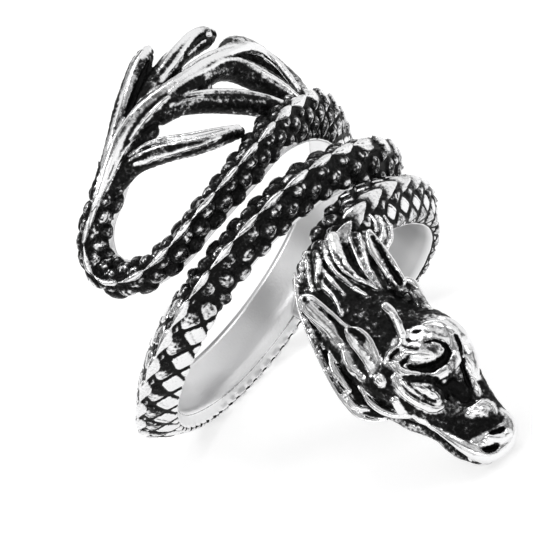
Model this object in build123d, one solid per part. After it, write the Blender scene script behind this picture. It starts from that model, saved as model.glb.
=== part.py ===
from build123d import *
import math
import os

import numpy as np

# A dragon wrapped round a finger, cast as one piece. The tail fan lies at the -X end,
# the head points along +X, and the strands between them wind round the finger, which
# runs along X. Places on the wrap are given as a turn angle round the finger, from the
# front of the ring towards its right-hand side, and a distance along the finger.

# Driving sizes, mm
BORE_RADIUS = 10.0  # the finger hole
BAND_WIDTH = 3.2  # one strand across
STRAND_GAP = 0.2  # air between two neighbouring strands
RIM_HEIGHT = 0.9  # widest part of a strand above the bore
RIDGE_RISE = 2.5  # ridge of a strand above the bore
SCALE_PITCH = 1.3  # one scale to the next along a strand
SCALE_RISE = 0.3  # a scale above the groove beside it
PLATE_RISE = 0.25  # a ridge plate above the one it overlaps
TINE_WIDTH = 1.7  # one tine of the tail fan across
TINE_STEP = 1.6  # one facet to the next along a tine
HEAD_LENGTH = 16.0  # from the neck to the tip of the snout
HEAD_WIDTH = 8.0  # across the cheeks
HEAD_HEIGHT = 5.0  # from the bore to the brow
BACK_WALL = 1.2  # the plain back that joins the strands
HEAD_START = 5.0  # where the head begins along the finger
HEAD_ROLL = 18.0  # degrees that the head faces away from the front

# Turns, in degrees, that lay the ring on the floor on three of its own points: the
# outside of the back band, the hidden back and the underside of the snout
REST_ROLL = 26.1  # about X
REST_PITCH = 45.7  # then about Y

STRAND_STEP = BAND_WIDTH + STRAND_GAP
HALF_PITCH = SCALE_PITCH / 2
PLATE_STEPS = 4  # grid steps from one ridge plate to the next
SINK = 0.06  # how far a joined piece stays clear of the bore
BORE_CUT = 0.12  # how far the strands reach into the bore before it is cut true
SKULL_SIDES = 14
JAW_SIDES = 10
BOXY = 0.8  # roundness of the skull and jaw across: 1 is an ellipse, less is squarer
BOSS_TILTS = (-50, 0, 50)  # degrees, the rings of a faceted knob

# The long strand: tail stem, U-turn, first front strand, back band, second front strand.
# Along is the middle of the strand's ridge and is a share of STRAND_STEP. Width and
# bore (how far the bore side lies beside the ridge) are shares of BAND_WIDTH, rise is
# a share of RIDGE_RISE.
# Columns: turn angle, along, width, rise, bore
LONG_STRAND = [
    (-3, -3.28, 0.74, 0.84, 0.00),
    (-12, -3.08, 0.76, 0.84, 0.00),
    (-22, -2.93, 0.76, 0.84, 0.00),
    (-29.5, -2.71, 0.86, 0.84, 0.00),
    (-34, -2.40, 0.92, 0.84, 0.00),
    (-34, -2.06, 0.92, 0.86, 0.00),
    (-30, -1.74, 0.86, 0.92, 0.00),
    (-23, -1.46, 0.78, 0.98, 0.00),
    (-12, -1.28, 0.76, 1.00, 0.00),
    (2, -1.28, 0.76, 1.00, 0.00),
    (16, -1.33, 0.82, 1.00, 0.00),
    (30, -1.46, 0.86, 1.00, 0.02),
    (45, -1.67, 0.88, 1.00, 0.06),
    (62, -1.87, 0.96, 1.00, 0.14),
    (78, -1.98, 1.02, 1.00, 0.21),
    (92, -1.93, 1.03, 1.00, 0.20),
    (110, -1.68, 1.03, 0.98, 0.11),
    (130, -1.38, 1.03, 0.96, 0.00),
    (150, -1.14, 1.03, 0.96, -0.08),
    (180, -0.80, 1.03, 0.96, -0.19),
    (210, -0.56, 1.03, 0.98, -0.23),
    (240, -0.38, 1.03, 1.04, -0.24),
    (270, -0.25, 1.03, 1.16, -0.24),
    (300, -0.20, 1.00, 1.12, -0.20),
    (330, -0.25, 1.00, 1.14, -0.13),
    (345, -0.30, 1.02, 1.14, -0.09),
    (360, -0.33, 1.03, 1.14, -0.06),
    (390, -0.38, 1.05, 1.14, -0.03),
    (415, -0.38, 1.08, 1.14, 0.00),
    (437, -0.27, 1.20, 1.18, 0.00),
    (452, -0.28, 1.20, 1.10, 0.00),
    (475, -0.31, 1.02, 0.90, 0.00),
    (495, -0.27, 0.80, 0.64, 0.00),
    (508, -0.24, 0.60, 0.42, 0.00),
]

# Across a strand, from the bore round to the bore. Place is a share of the half width,
# height a share of the way from the rim to the ridge, and kind says what lies there.
# Columns: place, height, kind
SECTION = [
    (0.97, 0.0, "bore"),
    (1.0, 0.0, "rim"),
    (0.74, 0.40, "even"),
    (0.42, 0.74, "odd"),
    (0.0, 1.0, "plate"),
    (-0.42, 0.74, "odd"),
    (-0.74, 0.40, "even"),
    (-1.0, 0.0, "rim"),
    (-0.97, 0.0, "bore"),
]

# The neck strand: from the hidden back over the right-hand side, then a bend into the head
NECK_STRAND = [
    (178, -0.58, 0.50, 0.50, 0.00),
    (174, -0.24, 0.80, 0.70, 0.00),
    (168, 0.12, 0.96, 0.84, 0.00),
    (158, 0.44, 1.04, 0.90, 0.00),
    (142, 0.65, 1.12, 0.92, 0.00),
    (120, 0.72, 1.18, 0.92, 0.00),
    (90, 0.73, 1.20, 0.92, 0.00),
    (67, 0.73, 1.20, 0.92, 0.00),
    (50, 0.76, 1.20, 0.94, 0.00),
    (38, 0.86, 1.26, 0.96, 0.00),
    (28, 1.08, 1.38, 1.00, 0.00),
    (20, 1.42, 1.54, 1.08, 0.00),
    (15, 1.86, 1.68, 1.16, 0.00),
    (13, 2.34, 1.76, 1.24, 0.00),
    (12.5, 2.85, 1.76, 1.24, 0.00),
]

# The tail fan. Width is a share of TINE_WIDTH and rise a share of RIDGE_RISE.
# Columns: turn angle, along (share of STRAND_STEP), width, rise
TINES = {
    "outer": [
        (-14, -3.18, 0.80, 0.70),
        (-3, -3.38, 0.90, 0.82),
        (9, -3.78, 0.95, 0.82),
        (20, -4.12, 0.95, 0.80),
        (30, -4.46, 0.85, 0.74),
        (38, -4.62, 0.50, 0.64),
    ],
    "upper": [
        (4, -3.50, 0.70, 0.66),
        (14, -3.68, 0.95, 0.76),
        (26, -3.86, 1.05, 0.84),
        (38, -4.08, 1.15, 0.88),
        (52, -4.22, 1.15, 0.86),
        (66, -4.28, 0.60, 0.80),
    ],
    "crest": [
        (-12, -3.14, 0.80, 0.72),
        (-2, -3.38, 0.95, 0.86),
        (9, -3.62, 1.00, 0.90),
        (22, -3.68, 1.00, 0.94),
        (38, -3.62, 1.00, 0.96),
        (54, -3.54, 1.00, 0.98),
        (62, -3.34, 1.00, 0.98),
        (65, -2.95, 0.95, 0.94),
        (68, -2.60, 0.95, 0.92),
        (70, -2.15, 0.90, 0.90),
        (72, -1.85, 0.80, 0.84),
    ],
    "far": [
        (56, -3.76, 0.70, 0.80),
        (66, -3.90, 1.15, 0.94),
        (80, -3.72, 1.30, 0.98),
        (91, -3.22, 1.30, 0.98),
        (92, -2.64, 1.15, 0.92),
        (86, -2.10, 0.90, 0.84),
    ],
    "middle": [
        (6, -3.32, 0.80, 0.60),
        (18, -3.44, 0.75, 0.66),
        (29, -3.32, 0.85, 0.72),
        (40, -3.02, 0.95, 0.76),
        (50, -2.62, 0.95, 0.76),
        (57, -2.22, 0.90, 0.74),
        (62, -1.90, 0.80, 0.70),
    ],
    "inner": [
        (-12, -3.02, 0.80, 0.62),
        (-3, -3.04, 1.05, 0.68),
        (6, -2.92, 0.95, 0.72),
        (15, -2.72, 0.90, 0.74),
        (24, -2.44, 0.85, 0.74),
        (33, -2.22, 0.70, 0.70),
        (42, -1.98, 0.50, 0.64),
    ],
    "web": [
        (2, -3.40, 1.30, 0.46),
        (14, -3.52, 1.90, 0.46),
        (26, -3.50, 2.00, 0.46),
        (34, -3.44, 1.40, 0.44),
        (42, -3.40, 0.80, 0.42),
    ],
}

# Across a tine: place (share of the half width), height (share of the rise)
TINE_SECTION = [
    (-0.7, 0.0),
    (0.7, 0.0),
    (1.0, 0.35),
    (0.55, 0.62),
    (-0.15, 1.0),
    (-0.75, 0.80),
    (-1.0, 0.40),
]

# The plain back that joins the neck strand and both turns of the long strand. Width is
# a share of BAND_WIDTH and rise a share of BACK_WALL.
# Columns: turn angle, along (share of STRAND_STEP), width, rise
BACK = [
    (103, -0.32, 2.10, 0.80),
    (116, -0.32, 2.20, 1.00),
    (130, -0.30, 2.15, 1.00),
    (144, -0.28, 2.00, 1.00),
    (156, -0.36, 1.75, 1.00),
    (166, -0.55, 1.20, 1.00),
    (174, -0.78, 0.60, 0.90),
]
BACK_SECTION = [
    (-0.96, 0.0),
    (0.96, 0.0),
    (1.0, 0.55),
    (0.6, 1.0),
    (-0.6, 1.0),
    (-1.0, 0.55),
]

# The head, one row per section from the neck to the tip. At is a share of HEAD_LENGTH,
# middle and half are shares of HEAD_WIDTH, low and high are shares of HEAD_HEIGHT.
# Columns: at, middle, half, low, high
SKULL = [
    (0.04, -0.08, 0.30, 0.06, 0.52),
    (0.14, -0.12, 0.37, 0.06, 0.62),
    (0.25, -0.15, 0.42, 0.06, 0.72),
    (0.36, -0.15, 0.45, 0.06, 0.84),
    (0.47, -0.13, 0.46, 0.06, 0.96),
    (0.58, -0.14, 0.42, 0.10, 0.97),
    (0.66, -0.15, 0.37, 0.20, 0.88),
    (0.74, -0.16, 0.31, 0.34, 0.72),
    (0.82, -0.18, 0.27, 0.38, 0.72),
    (0.90, -0.19, 0.26, 0.38, 0.76),
    (0.97, -0.20, 0.23, 0.38, 0.72),
    (1.03, -0.20, 0.17, 0.42, 0.60),
]
JAW = [
    (0.45, -0.22, 0.41, 0.05, 0.34),
    (0.58, -0.22, 0.40, 0.05, 0.34),
    (0.70, -0.21, 0.35, 0.05, 0.32),
    (0.82, -0.20, 0.29, 0.06, 0.30),
    (0.92, -0.21, 0.24, 0.08, 0.29),
    (0.98, -0.21, 0.15, 0.12, 0.27),
]

# Horns, ears, brows, lids, fins and locks of the head. Each row is a station of a tapered
# limb. Side is a share of HEAD_WIDTH, up of HEAD_HEIGHT, half and thick of HEAD_WIDTH.
# Columns: at, side, up, half, thick
LIMBS = {
    "left_ear": [
        (-0.01, -0.41, 0.64, 0.035, 0.035),
        (0.10, -0.40, 0.64, 0.075, 0.050),
        (0.23, -0.43, 0.62, 0.085, 0.055),
        (0.38, -0.46, 0.56, 0.060, 0.060),
    ],
    "left_leaf": [
        (0.24, -0.38, 0.86, 0.030, 0.030),
        (0.32, -0.38, 0.84, 0.065, 0.045),
        (0.42, -0.41, 0.78, 0.065, 0.050),
        (0.50, -0.44, 0.68, 0.045, 0.050),
    ],
    "cheek_fin": [
        (0.00, -0.40, 0.30, 0.040, 0.040),
        (0.14, -0.47, 0.27, 0.080, 0.060),
        (0.30, -0.58, 0.25, 0.110, 0.065),
        (0.42, -0.65, 0.25, 0.115, 0.060),
        (0.52, -0.64, 0.28, 0.100, 0.055),
        (0.60, -0.56, 0.32, 0.050, 0.040),
    ],
    "cheek_plate": [
        (0.41, -0.60, 0.50, 0.030, 0.035),
        (0.50, -0.63, 0.46, 0.050, 0.045),
        (0.58, -0.60, 0.46, 0.055, 0.045),
        (0.66, -0.52, 0.48, 0.035, 0.040),
    ],
    "left_lid": [
        (0.50, -0.42, 0.70, 0.030, 0.035),
        (0.60, -0.44, 0.66, 0.050, 0.045),
        (0.69, -0.41, 0.62, 0.050, 0.045),
        (0.74, -0.36, 0.62, 0.030, 0.035),
    ],
    "left_brow": [
        (0.46, -0.40, 0.86, 0.035, 0.045),
        (0.56, -0.40, 0.94, 0.050, 0.055),
        (0.64, -0.35, 0.92, 0.050, 0.055),
        (0.71, -0.28, 0.84, 0.045, 0.050),
        (0.78, -0.22, 0.74, 0.030, 0.040),
    ],
    "right_brow": [
        (0.46, 0.06, 0.86, 0.035, 0.045),
        (0.56, 0.06, 0.94, 0.050, 0.055),
        (0.64, 0.02, 0.92, 0.050, 0.055),
        (0.71, -0.06, 0.84, 0.045, 0.050),
        (0.78, -0.14, 0.74, 0.030, 0.040),
    ],
    "right_lid": [
        (0.52, 0.14, 0.66, 0.030, 0.035),
        (0.62, 0.14, 0.62, 0.050, 0.045),
        (0.72, 0.08, 0.60, 0.045, 0.045),
        (0.78, 0.02, 0.60, 0.030, 0.035),
    ],
    "brow_hook": [
        (0.53, -0.34, 1.02, 0.030, 0.040),
        (0.61, -0.31, 1.04, 0.040, 0.045),
        (0.66, -0.20, 1.02, 0.042, 0.045),
        (0.65, -0.06, 1.00, 0.042, 0.045),
        (0.58, 0.02, 1.00, 0.040, 0.045),
        (0.52, -0.03, 1.03, 0.035, 0.045),
    ],
    "crown_horn": [
        (0.30, -0.08, 1.12, 0.025, 0.030),
        (0.36, -0.04, 1.08, 0.040, 0.040),
        (0.42, -0.06, 1.00, 0.050, 0.045),
        (0.48, -0.12, 0.92, 0.045, 0.045),
    ],
    "right_leaf": [
        (0.00, 0.35, 0.82, 0.030, 0.030),
        (0.09, 0.32, 0.80, 0.075, 0.045),
        (0.20, 0.27, 0.76, 0.085, 0.050),
        (0.34, 0.20, 0.70, 0.055, 0.055),
    ],
    "right_tuft": [
        (-0.05, 0.58, 0.50, 0.030, 0.030),
        (0.03, 0.55, 0.48, 0.080, 0.045),
        (0.08, 0.42, 0.44, 0.070, 0.070),
        (0.14, 0.24, 0.42, 0.060, 0.080),
    ],
    "right_ear": [
        (0.23, 0.34, 0.64, 0.030, 0.030),
        (0.31, 0.33, 0.64, 0.065, 0.045),
        (0.40, 0.24, 0.62, 0.060, 0.055),
        (0.48, 0.15, 0.60, 0.040, 0.050),
    ],
    "lock_one": [
        (-0.16, 0.12, 0.44, 0.030, 0.030),
        (-0.05, -0.02, 0.56, 0.060, 0.050),
        (0.08, -0.08, 0.60, 0.060, 0.050),
        (0.18, -0.09, 0.62, 0.030, 0.030),
    ],
    "lock_two": [
        (-0.12, 0.20, 0.48, 0.030, 0.030),
        (-0.02, 0.08, 0.60, 0.060, 0.050),
        (0.11, 0.00, 0.64, 0.060, 0.050),
        (0.20, -0.02, 0.66, 0.030, 0.030),
    ],
    "lock_three": [
        (-0.06, 0.26, 0.50, 0.030, 0.030),
        (0.04, 0.16, 0.62, 0.060, 0.050),
        (0.13, 0.08, 0.66, 0.060, 0.050),
        (0.22, 0.05, 0.68, 0.030, 0.030),
    ],
    "lock_four": [
        (-0.03, 0.36, 0.50, 0.030, 0.030),
        (0.07, 0.26, 0.58, 0.060, 0.050),
        (0.16, 0.17, 0.64, 0.060, 0.050),
        (0.25, 0.12, 0.66, 0.030, 0.030),
    ],
    "lock_five": [
        (-0.12, -0.06, 0.42, 0.030, 0.030),
        (0.00, -0.17, 0.52, 0.055, 0.050),
        (0.12, -0.20, 0.58, 0.055, 0.050),
        (0.22, -0.20, 0.62, 0.030, 0.030),
    ],
}

# Round bosses of the head: eyes, cheek knobs and the two halves of the nose.
# Columns: at, side, up, radius (the last three as above)
BOSSES = {
    "left_eye": (0.67, -0.34, 0.74, 0.070),
    "right_eye": (0.69, 0.04, 0.72, 0.065),
    "cheek_knob": (0.49, -0.50, 0.66, 0.055),
    "cheek_boss": (0.60, -0.52, 0.54, 0.060),
    "nose_bump": (0.86, -0.18, 0.76, 0.085),
    "nose_left": (0.99, -0.28, 0.58, 0.090),
    "nose_right": (0.97, -0.12, 0.62, 0.090),
}


def on_finger(angle, along, radius):
    """A point at a turn angle (degrees), a distance along the finger and a radius."""
    a = math.radians(angle)
    return np.array([along, radius * math.sin(a), radius * math.cos(a)])


def on_head(at, side, up):
    """A point of the head, from shares of its length, width and height."""
    roll = math.radians(HEAD_ROLL)
    reach = BORE_RADIUS + up * HEAD_HEIGHT
    across = side * HEAD_WIDTH
    return np.array(
        [
            HEAD_START + at * HEAD_LENGTH,
            reach * math.sin(roll) + across * math.cos(roll),
            reach * math.cos(roll) - across * math.sin(roll),
        ]
    )


def smooth(rows, places, count):
    """Rows read at even distances along a smooth curve through their places."""
    rows = np.array(rows, float)
    steps = np.linalg.norm(np.diff(places, axis=0), axis=1)
    knots = np.concatenate([[0], np.cumsum(steps)])
    slopes = np.gradient(rows, knots, axis=0)
    out = []
    for t in np.linspace(0, knots[-1], count):
        k = min(np.searchsorted(knots, t, side="right") - 1, len(knots) - 2)
        span = knots[k + 1] - knots[k]
        s = (t - knots[k]) / span
        out.append(
            (1 + 2 * s) * (1 - s) ** 2 * rows[k]
            + s * (1 - s) ** 2 * span * slopes[k]
            + s**2 * (3 - 2 * s) * rows[k + 1]
            + s**2 * (s - 1) * span * slopes[k + 1]
        )
    return np.array(out)


def off_axis(a, b):
    """How far the middle of an edge lies from the finger's axis."""
    return math.hypot(*((a + b) / 2)[1:])


def closed_solid(rings):
    """A solid skinned over rings of points, with valleys between raised points."""
    faces = []
    count = len(rings[0])
    for low, high in zip(rings, rings[1:]):
        for j in range(count):
            k = (j + 1) % count
            if off_axis(low[j], high[k]) < off_axis(low[k], high[j]):
                faces.append(triangle(low[j], low[k], high[k]))
                faces.append(triangle(low[j], high[k], high[j]))
            else:
                faces.append(triangle(low[j], low[k], high[j]))
                faces.append(triangle(low[k], high[k], high[j]))
    for ring, turned in ((rings[0], True), (rings[-1], False)):
        hub = np.mean(ring, axis=0)
        for j in range(count):
            k = (j + 1) % count
            pair = (ring[k], ring[j]) if turned else (ring[j], ring[k])
            faces.append(triangle(hub, *pair))
    return Solid(Shell(faces))


def triangle(a, b, c):
    corners = [Vector(*p) for p in (a, b, c)]
    return Face(Wire.make_polygon(corners, close=True))


def strand(table):
    """A strand with ridge plates and rows of scales, wound on the bore."""
    rows = [
        (angle, along * STRAND_STEP, width * BAND_WIDTH, rise * RIDGE_RISE, bore * BAND_WIDTH)
        for angle, along, width, rise, bore in table
    ]
    middle = BORE_RADIUS + RIDGE_RISE / 2
    places = [(math.radians(row[0]) * middle, row[1]) for row in rows]
    length = np.sum(np.linalg.norm(np.diff(places, axis=0), axis=1))
    count = int(round(length / HALF_PITCH)) + 1
    stations = smooth(rows, places, count)
    flat = np.stack([np.radians(stations[:, 0]) * middle, stations[:, 1]], axis=1)
    heading = np.gradient(flat, axis=0)
    heading /= np.linalg.norm(heading, axis=1)[:, None]
    rings = []
    for i, (angle, along, width, rise, bore) in enumerate(stations):
        round_way, long_way = -heading[i][1], heading[i][0]
        wave = 1 if i % 2 else -1
        plate = 1 - (i % PLATE_STEPS) / (PLATE_STEPS - 1)
        ring = []
        for share, height, scale in SECTION:
            shift = share * width / 2
            if scale == "bore":
                lift = -BORE_CUT
                shift += bore
            else:
                lift = RIM_HEIGHT + height * (rise - RIM_HEIGHT)
            if scale == "plate":
                lift -= PLATE_RISE * (1 - plate)
            if scale in ("even", "odd"):
                lift += SCALE_RISE / 2 * (wave if scale == "even" else -wave)
            turn = angle + math.degrees(shift * round_way / middle)
            ring.append(on_finger(turn, along + shift * long_way, BORE_RADIUS + lift))
        rings.append(ring)
    return closed_solid(rings)


def laid(table, section, unit, tallest):
    """A plain tapered bar lying on the finger; unit and tallest are its whole sizes."""
    rows = [
        (angle, along * STRAND_STEP, width * unit, rise * tallest)
        for angle, along, width, rise in table
    ]
    middle = BORE_RADIUS + RIDGE_RISE / 2
    places = [(math.radians(row[0]) * middle, row[1]) for row in rows]
    length = np.sum(np.linalg.norm(np.diff(places, axis=0), axis=1))
    stations = smooth(rows, places, int(round(length / TINE_STEP)) + 1)
    flat = np.stack([np.radians(stations[:, 0]) * middle, stations[:, 1]], axis=1)
    heading = np.gradient(flat, axis=0)
    heading /= np.linalg.norm(heading, axis=1)[:, None]
    rings = []
    for (angle, along, width, rise), (run, climb) in zip(stations, heading):
        ring = []
        for share, height in section:
            shift = share * width / 2
            turn = angle - math.degrees(shift * climb / middle)
            radius = BORE_RADIUS + SINK + height * (rise - SINK)
            ring.append(on_finger(turn, along + shift * run, radius))
        rings.append(ring)
    return closed_solid(rings)


def lofted(table, sides):
    """The skull or the jaw, from one row per section."""
    rows = np.array(table, float)
    places = [on_head(row[0], row[1], (row[3] + row[4]) / 2) for row in rows]
    stations = smooth(rows, places, 2 * len(rows) - 1)
    rings = []
    for at, middle, half, low, high in stations:
        ring = []
        for j in range(sides):
            a = 2 * math.pi * (j + 0.5) / sides
            across = math.copysign(abs(math.cos(a)) ** BOXY, math.cos(a))
            upward = math.copysign(abs(math.sin(a)) ** BOXY, math.sin(a))
            up = (low + high) / 2 + upward * (high - low) / 2
            ring.append(on_head(at, middle + half * across, up))
        rings.append(ring)
    return closed_solid(rings)


def limb(table, sides=6):
    """A horn, ear, brow, lid or fin, tapered along its stations."""
    path = np.array([on_head(*row[:3]) for row in table])
    heading = np.gradient(path, axis=0)
    heading /= np.linalg.norm(heading, axis=1)[:, None]
    away = on_head(0, 0, 1) - on_head(0, 0, 0)
    rings = []
    for point, ahead, row in zip(path, heading, table):
        aside = np.cross(ahead, away)
        aside /= np.linalg.norm(aside)
        upward = np.cross(aside, ahead)
        half, thick = row[3] * HEAD_WIDTH, row[4] * HEAD_WIDTH
        ring = []
        for j in range(sides):
            a = 2 * math.pi * j / sides
            ring.append(point + aside * half * math.cos(a) + upward * thick * math.sin(a))
        rings.append(ring)
    return closed_solid(rings)


def boss(at, side, up, radius, sides=8):
    """A faceted knob."""
    centre = on_head(at, side, up)
    size = radius * HEAD_WIDTH
    rings = []
    for tilt in BOSS_TILTS:
        t = math.radians(tilt)
        ring = []
        for j in range(sides):
            a = 2 * math.pi * j / sides
            ring.append(
                centre
                + size
                * np.array([math.sin(t), math.cos(t) * math.cos(a), math.cos(t) * math.sin(a)])
            )
        rings.append(ring)
    return closed_solid(rings)


def build():
    ring = strand(LONG_STRAND).fuse(
        strand(NECK_STRAND), laid(BACK, BACK_SECTION, BAND_WIDTH, BACK_WALL)
    )
    reach = 2 * (HEAD_START + HEAD_LENGTH)
    ring = ring.cut(
        Solid.make_cylinder(BORE_RADIUS, 2 * reach, Plane(origin=(-reach, 0, 0), z_dir=(1, 0, 0)))
    )
    tines = [laid(t, TINE_SECTION, TINE_WIDTH, RIDGE_RISE) for t in TINES.values()]
    head = [lofted(SKULL, SKULL_SIDES), lofted(JAW, JAW_SIDES)]
    head += [limb(t) for t in LIMBS.values()]
    head += [boss(*b) for b in BOSSES.values()]
    return ring.fuse(tines[0].fuse(*tines[1:]), head[0].fuse(*head[1:]))


def at_rest(ring):
    """The ring laid on the floor, with the origin under the middle of its box."""
    ring = ring.rotate(Axis.X, REST_ROLL).rotate(Axis.Y, REST_PITCH)
    box = ring.bounding_box()
    middle = box.center()
    return ring.translate(Vector(-middle.X, -middle.Y, -box.min.Z))


os.makedirs("parts", exist_ok=True)
export_step(at_rest(build()), "parts/dragon_ring.step")
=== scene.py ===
"""A dragon wrap ring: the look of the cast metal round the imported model.

The strands are swept surfaces with their scales, beads and ridge plates raised in the mesh.
The head and the tail fan are carved in a field of distances and meshed. All of it is placed
from turn angles round the finger and distances along it, in millimetres, and then laid on
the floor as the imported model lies.
"""

import math
from dataclasses import dataclass

import bpy
import numpy as np
from mathutils import Matrix, Vector


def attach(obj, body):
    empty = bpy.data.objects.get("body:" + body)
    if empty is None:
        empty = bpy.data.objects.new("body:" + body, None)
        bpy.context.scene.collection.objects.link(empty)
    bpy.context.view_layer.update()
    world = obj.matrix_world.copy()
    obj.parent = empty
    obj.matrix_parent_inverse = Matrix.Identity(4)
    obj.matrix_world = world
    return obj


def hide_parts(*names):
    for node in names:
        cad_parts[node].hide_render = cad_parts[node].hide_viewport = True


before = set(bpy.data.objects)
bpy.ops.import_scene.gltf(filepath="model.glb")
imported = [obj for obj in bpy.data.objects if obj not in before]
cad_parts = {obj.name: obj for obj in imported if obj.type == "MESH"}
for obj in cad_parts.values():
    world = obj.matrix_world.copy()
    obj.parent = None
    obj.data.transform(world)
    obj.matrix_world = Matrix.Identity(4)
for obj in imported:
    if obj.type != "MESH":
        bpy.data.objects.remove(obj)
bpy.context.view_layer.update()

MM = 0.001
BORE = 10.0  # radius of the finger hole
STEP = 3.4  # one strand to the next along the finger
BAND = 3.2  # a strand across
RIDGE = 2.5  # ridge above the bore
RIM = 0.9  # widest part of a strand above the bore
MIDDLE = BORE + RIDGE / 2  # radius at which distances round the finger are measured
HEAD_ROLL = math.radians(18.0)  # how far the head faces away from the front
ROWS = 1.5  # beads or scales across a flank, in three rows that interlock

# How the ring lies: turns about X and then Y, and where its centre stands
REST_ROLL, REST_PITCH = math.radians(26.1), math.radians(45.7)
CENTRE = np.array([-6.779, 0.171, 7.673])
TURN = np.array(Matrix.Rotation(REST_PITCH, 3, "Y") @ Matrix.Rotation(REST_ROLL, 3, "X"))


def at_rest(points):
    """Points round the finger (mm) to the row's frame (m)."""
    return (points @ TURN.T + CENTRE) * MM


def on_finger(angle, along, radius):
    """Points at turn angles (degrees), distances along the finger and radii."""
    a = np.radians(angle)
    return np.stack([along + 0 * a, radius * np.sin(a), radius * np.cos(a)], axis=-1)


def from_head(points):
    """Head points (along, across, up from the finger's axis) to points round the finger."""
    x, w, z = points[..., 0], points[..., 1], points[..., 2]
    s, c = math.sin(HEAD_ROLL), math.cos(HEAD_ROLL)
    return np.stack([x, z * s + w * c, z * c - w * s], axis=-1)


def smoothstep(low, high, x):
    """0 up to low, 1 from high on, and an easy rise between."""
    t = np.clip((x - low) / (high - low), 0, 1)
    return t * t * (3 - 2 * t)


def bell(x, middle, width):
    """1 at the middle, falling off on both sides."""
    return np.exp(-(((x - middle) / width) ** 2))


def dome(away):
    """A rounded top over distances from its middle, down to 0 at 1."""
    return np.clip(1 - away**2, 0, 1) ** 0.6


def smooth(rows, places, count):
    """Rows read at even distances along a smooth curve through places, and the distances."""
    rows = np.array(rows, float)
    knots = np.concatenate([[0], np.cumsum(np.linalg.norm(np.diff(places, axis=0), axis=1))])
    slopes = np.gradient(rows, knots, axis=0)
    t = np.linspace(0, knots[-1], count)
    k = np.clip(np.searchsorted(knots, t, side="right") - 1, 0, len(knots) - 2)
    span = (knots[k + 1] - knots[k])[:, None]
    s = (t[:, None] - knots[k][:, None]) / span
    return (
        (1 + 2 * s) * (1 - s) ** 2 * rows[k]
        + s * (1 - s) ** 2 * span * slopes[k]
        + s**2 * (3 - 2 * s) * rows[k + 1]
        + s**2 * (s - 1) * span * slopes[k + 1]
    ), t


def noise(x, y, seed, cells=64):
    """Smooth random values, from -1 to 1, over a plane."""
    grid = np.random.default_rng(seed).uniform(-1, 1, (cells, cells))
    i, j = np.floor(x).astype(int), np.floor(y).astype(int)
    u, v = x - i, y - j
    u, v = u * u * (3 - 2 * u), v * v * (3 - 2 * v)
    a, b = grid[i % cells, j % cells], grid[(i + 1) % cells, j % cells]
    c, d = grid[i % cells, (j + 1) % cells], grid[(i + 1) % cells, (j + 1) % cells]
    return (a * (1 - u) + b * u) * (1 - v) + (c * (1 - u) + d * u) * v


def grain(x, y, seed):
    """Noise with a finer one on it."""
    return noise(x, y, seed) * 0.6 + noise(2.1 * x, 2.1 * y, seed + 1) * 0.4


def mesh_piece(name, points, quads, bright, material):
    """A mesh with a brightness per point: 0 in a blackened groove and 1 on polished metal, with painted
    highlights among them, and past 1.9 the painted shade of a bore.
    """
    mesh = bpy.data.meshes.new(name)
    placed = at_rest(points)
    placed[:, 2] = np.maximum(placed[:, 2], 0)  # nothing sinks into the floor
    mesh.vertices.add(len(points))
    mesh.vertices.foreach_set("co", placed.astype(np.float32).ravel())
    quads = np.asarray(quads, np.int32)
    mesh.loops.add(quads.size)
    mesh.loops.foreach_set("vertex_index", quads.ravel())
    mesh.polygons.add(len(quads))
    mesh.polygons.foreach_set("loop_start", np.arange(0, quads.size, 4, dtype=np.int32))
    mesh.polygons.foreach_set("use_smooth", np.full(len(quads), True))
    mesh.update(calc_edges=True)
    mesh.validate()
    layer = mesh.attributes.new("bright", "FLOAT", "POINT")
    layer.data.foreach_set("value", np.asarray(bright, np.float32))
    mesh.materials.append(material)
    piece = bpy.data.objects.new(name, mesh)
    bpy.context.scene.collection.objects.link(piece)
    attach(piece, "root")
    return piece


def tube_faces(count, around):
    """Quads of a closed sweep: count rings of around points."""
    i = np.arange(count - 1)[:, None]
    j = np.arange(around)[None, :]
    k = (j + 1) % around
    a, b = i * around + j, i * around + k
    return np.stack([a, b, b + around, a + around], axis=-1).reshape(-1, 4)


def swept(name, rings, bright, material, closed=(True, True)):
    """A sweep of rings, drawn to a point at the ends that are closed."""
    around = rings.shape[1]
    hubs = rings[[0, -1]].mean(axis=1, keepdims=True).repeat(around, 1)
    if closed[0]:
        rings, bright = np.concatenate([hubs[:1], rings]), np.concatenate([bright[:1] * 0, bright])
    if closed[1]:
        rings, bright = np.concatenate([rings, hubs[1:]]), np.concatenate([bright, bright[-1:] * 0])
    faces = tube_faces(len(rings), around)
    return mesh_piece(name, rings.reshape(-1, 3), faces, bright.ravel(), material)


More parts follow.
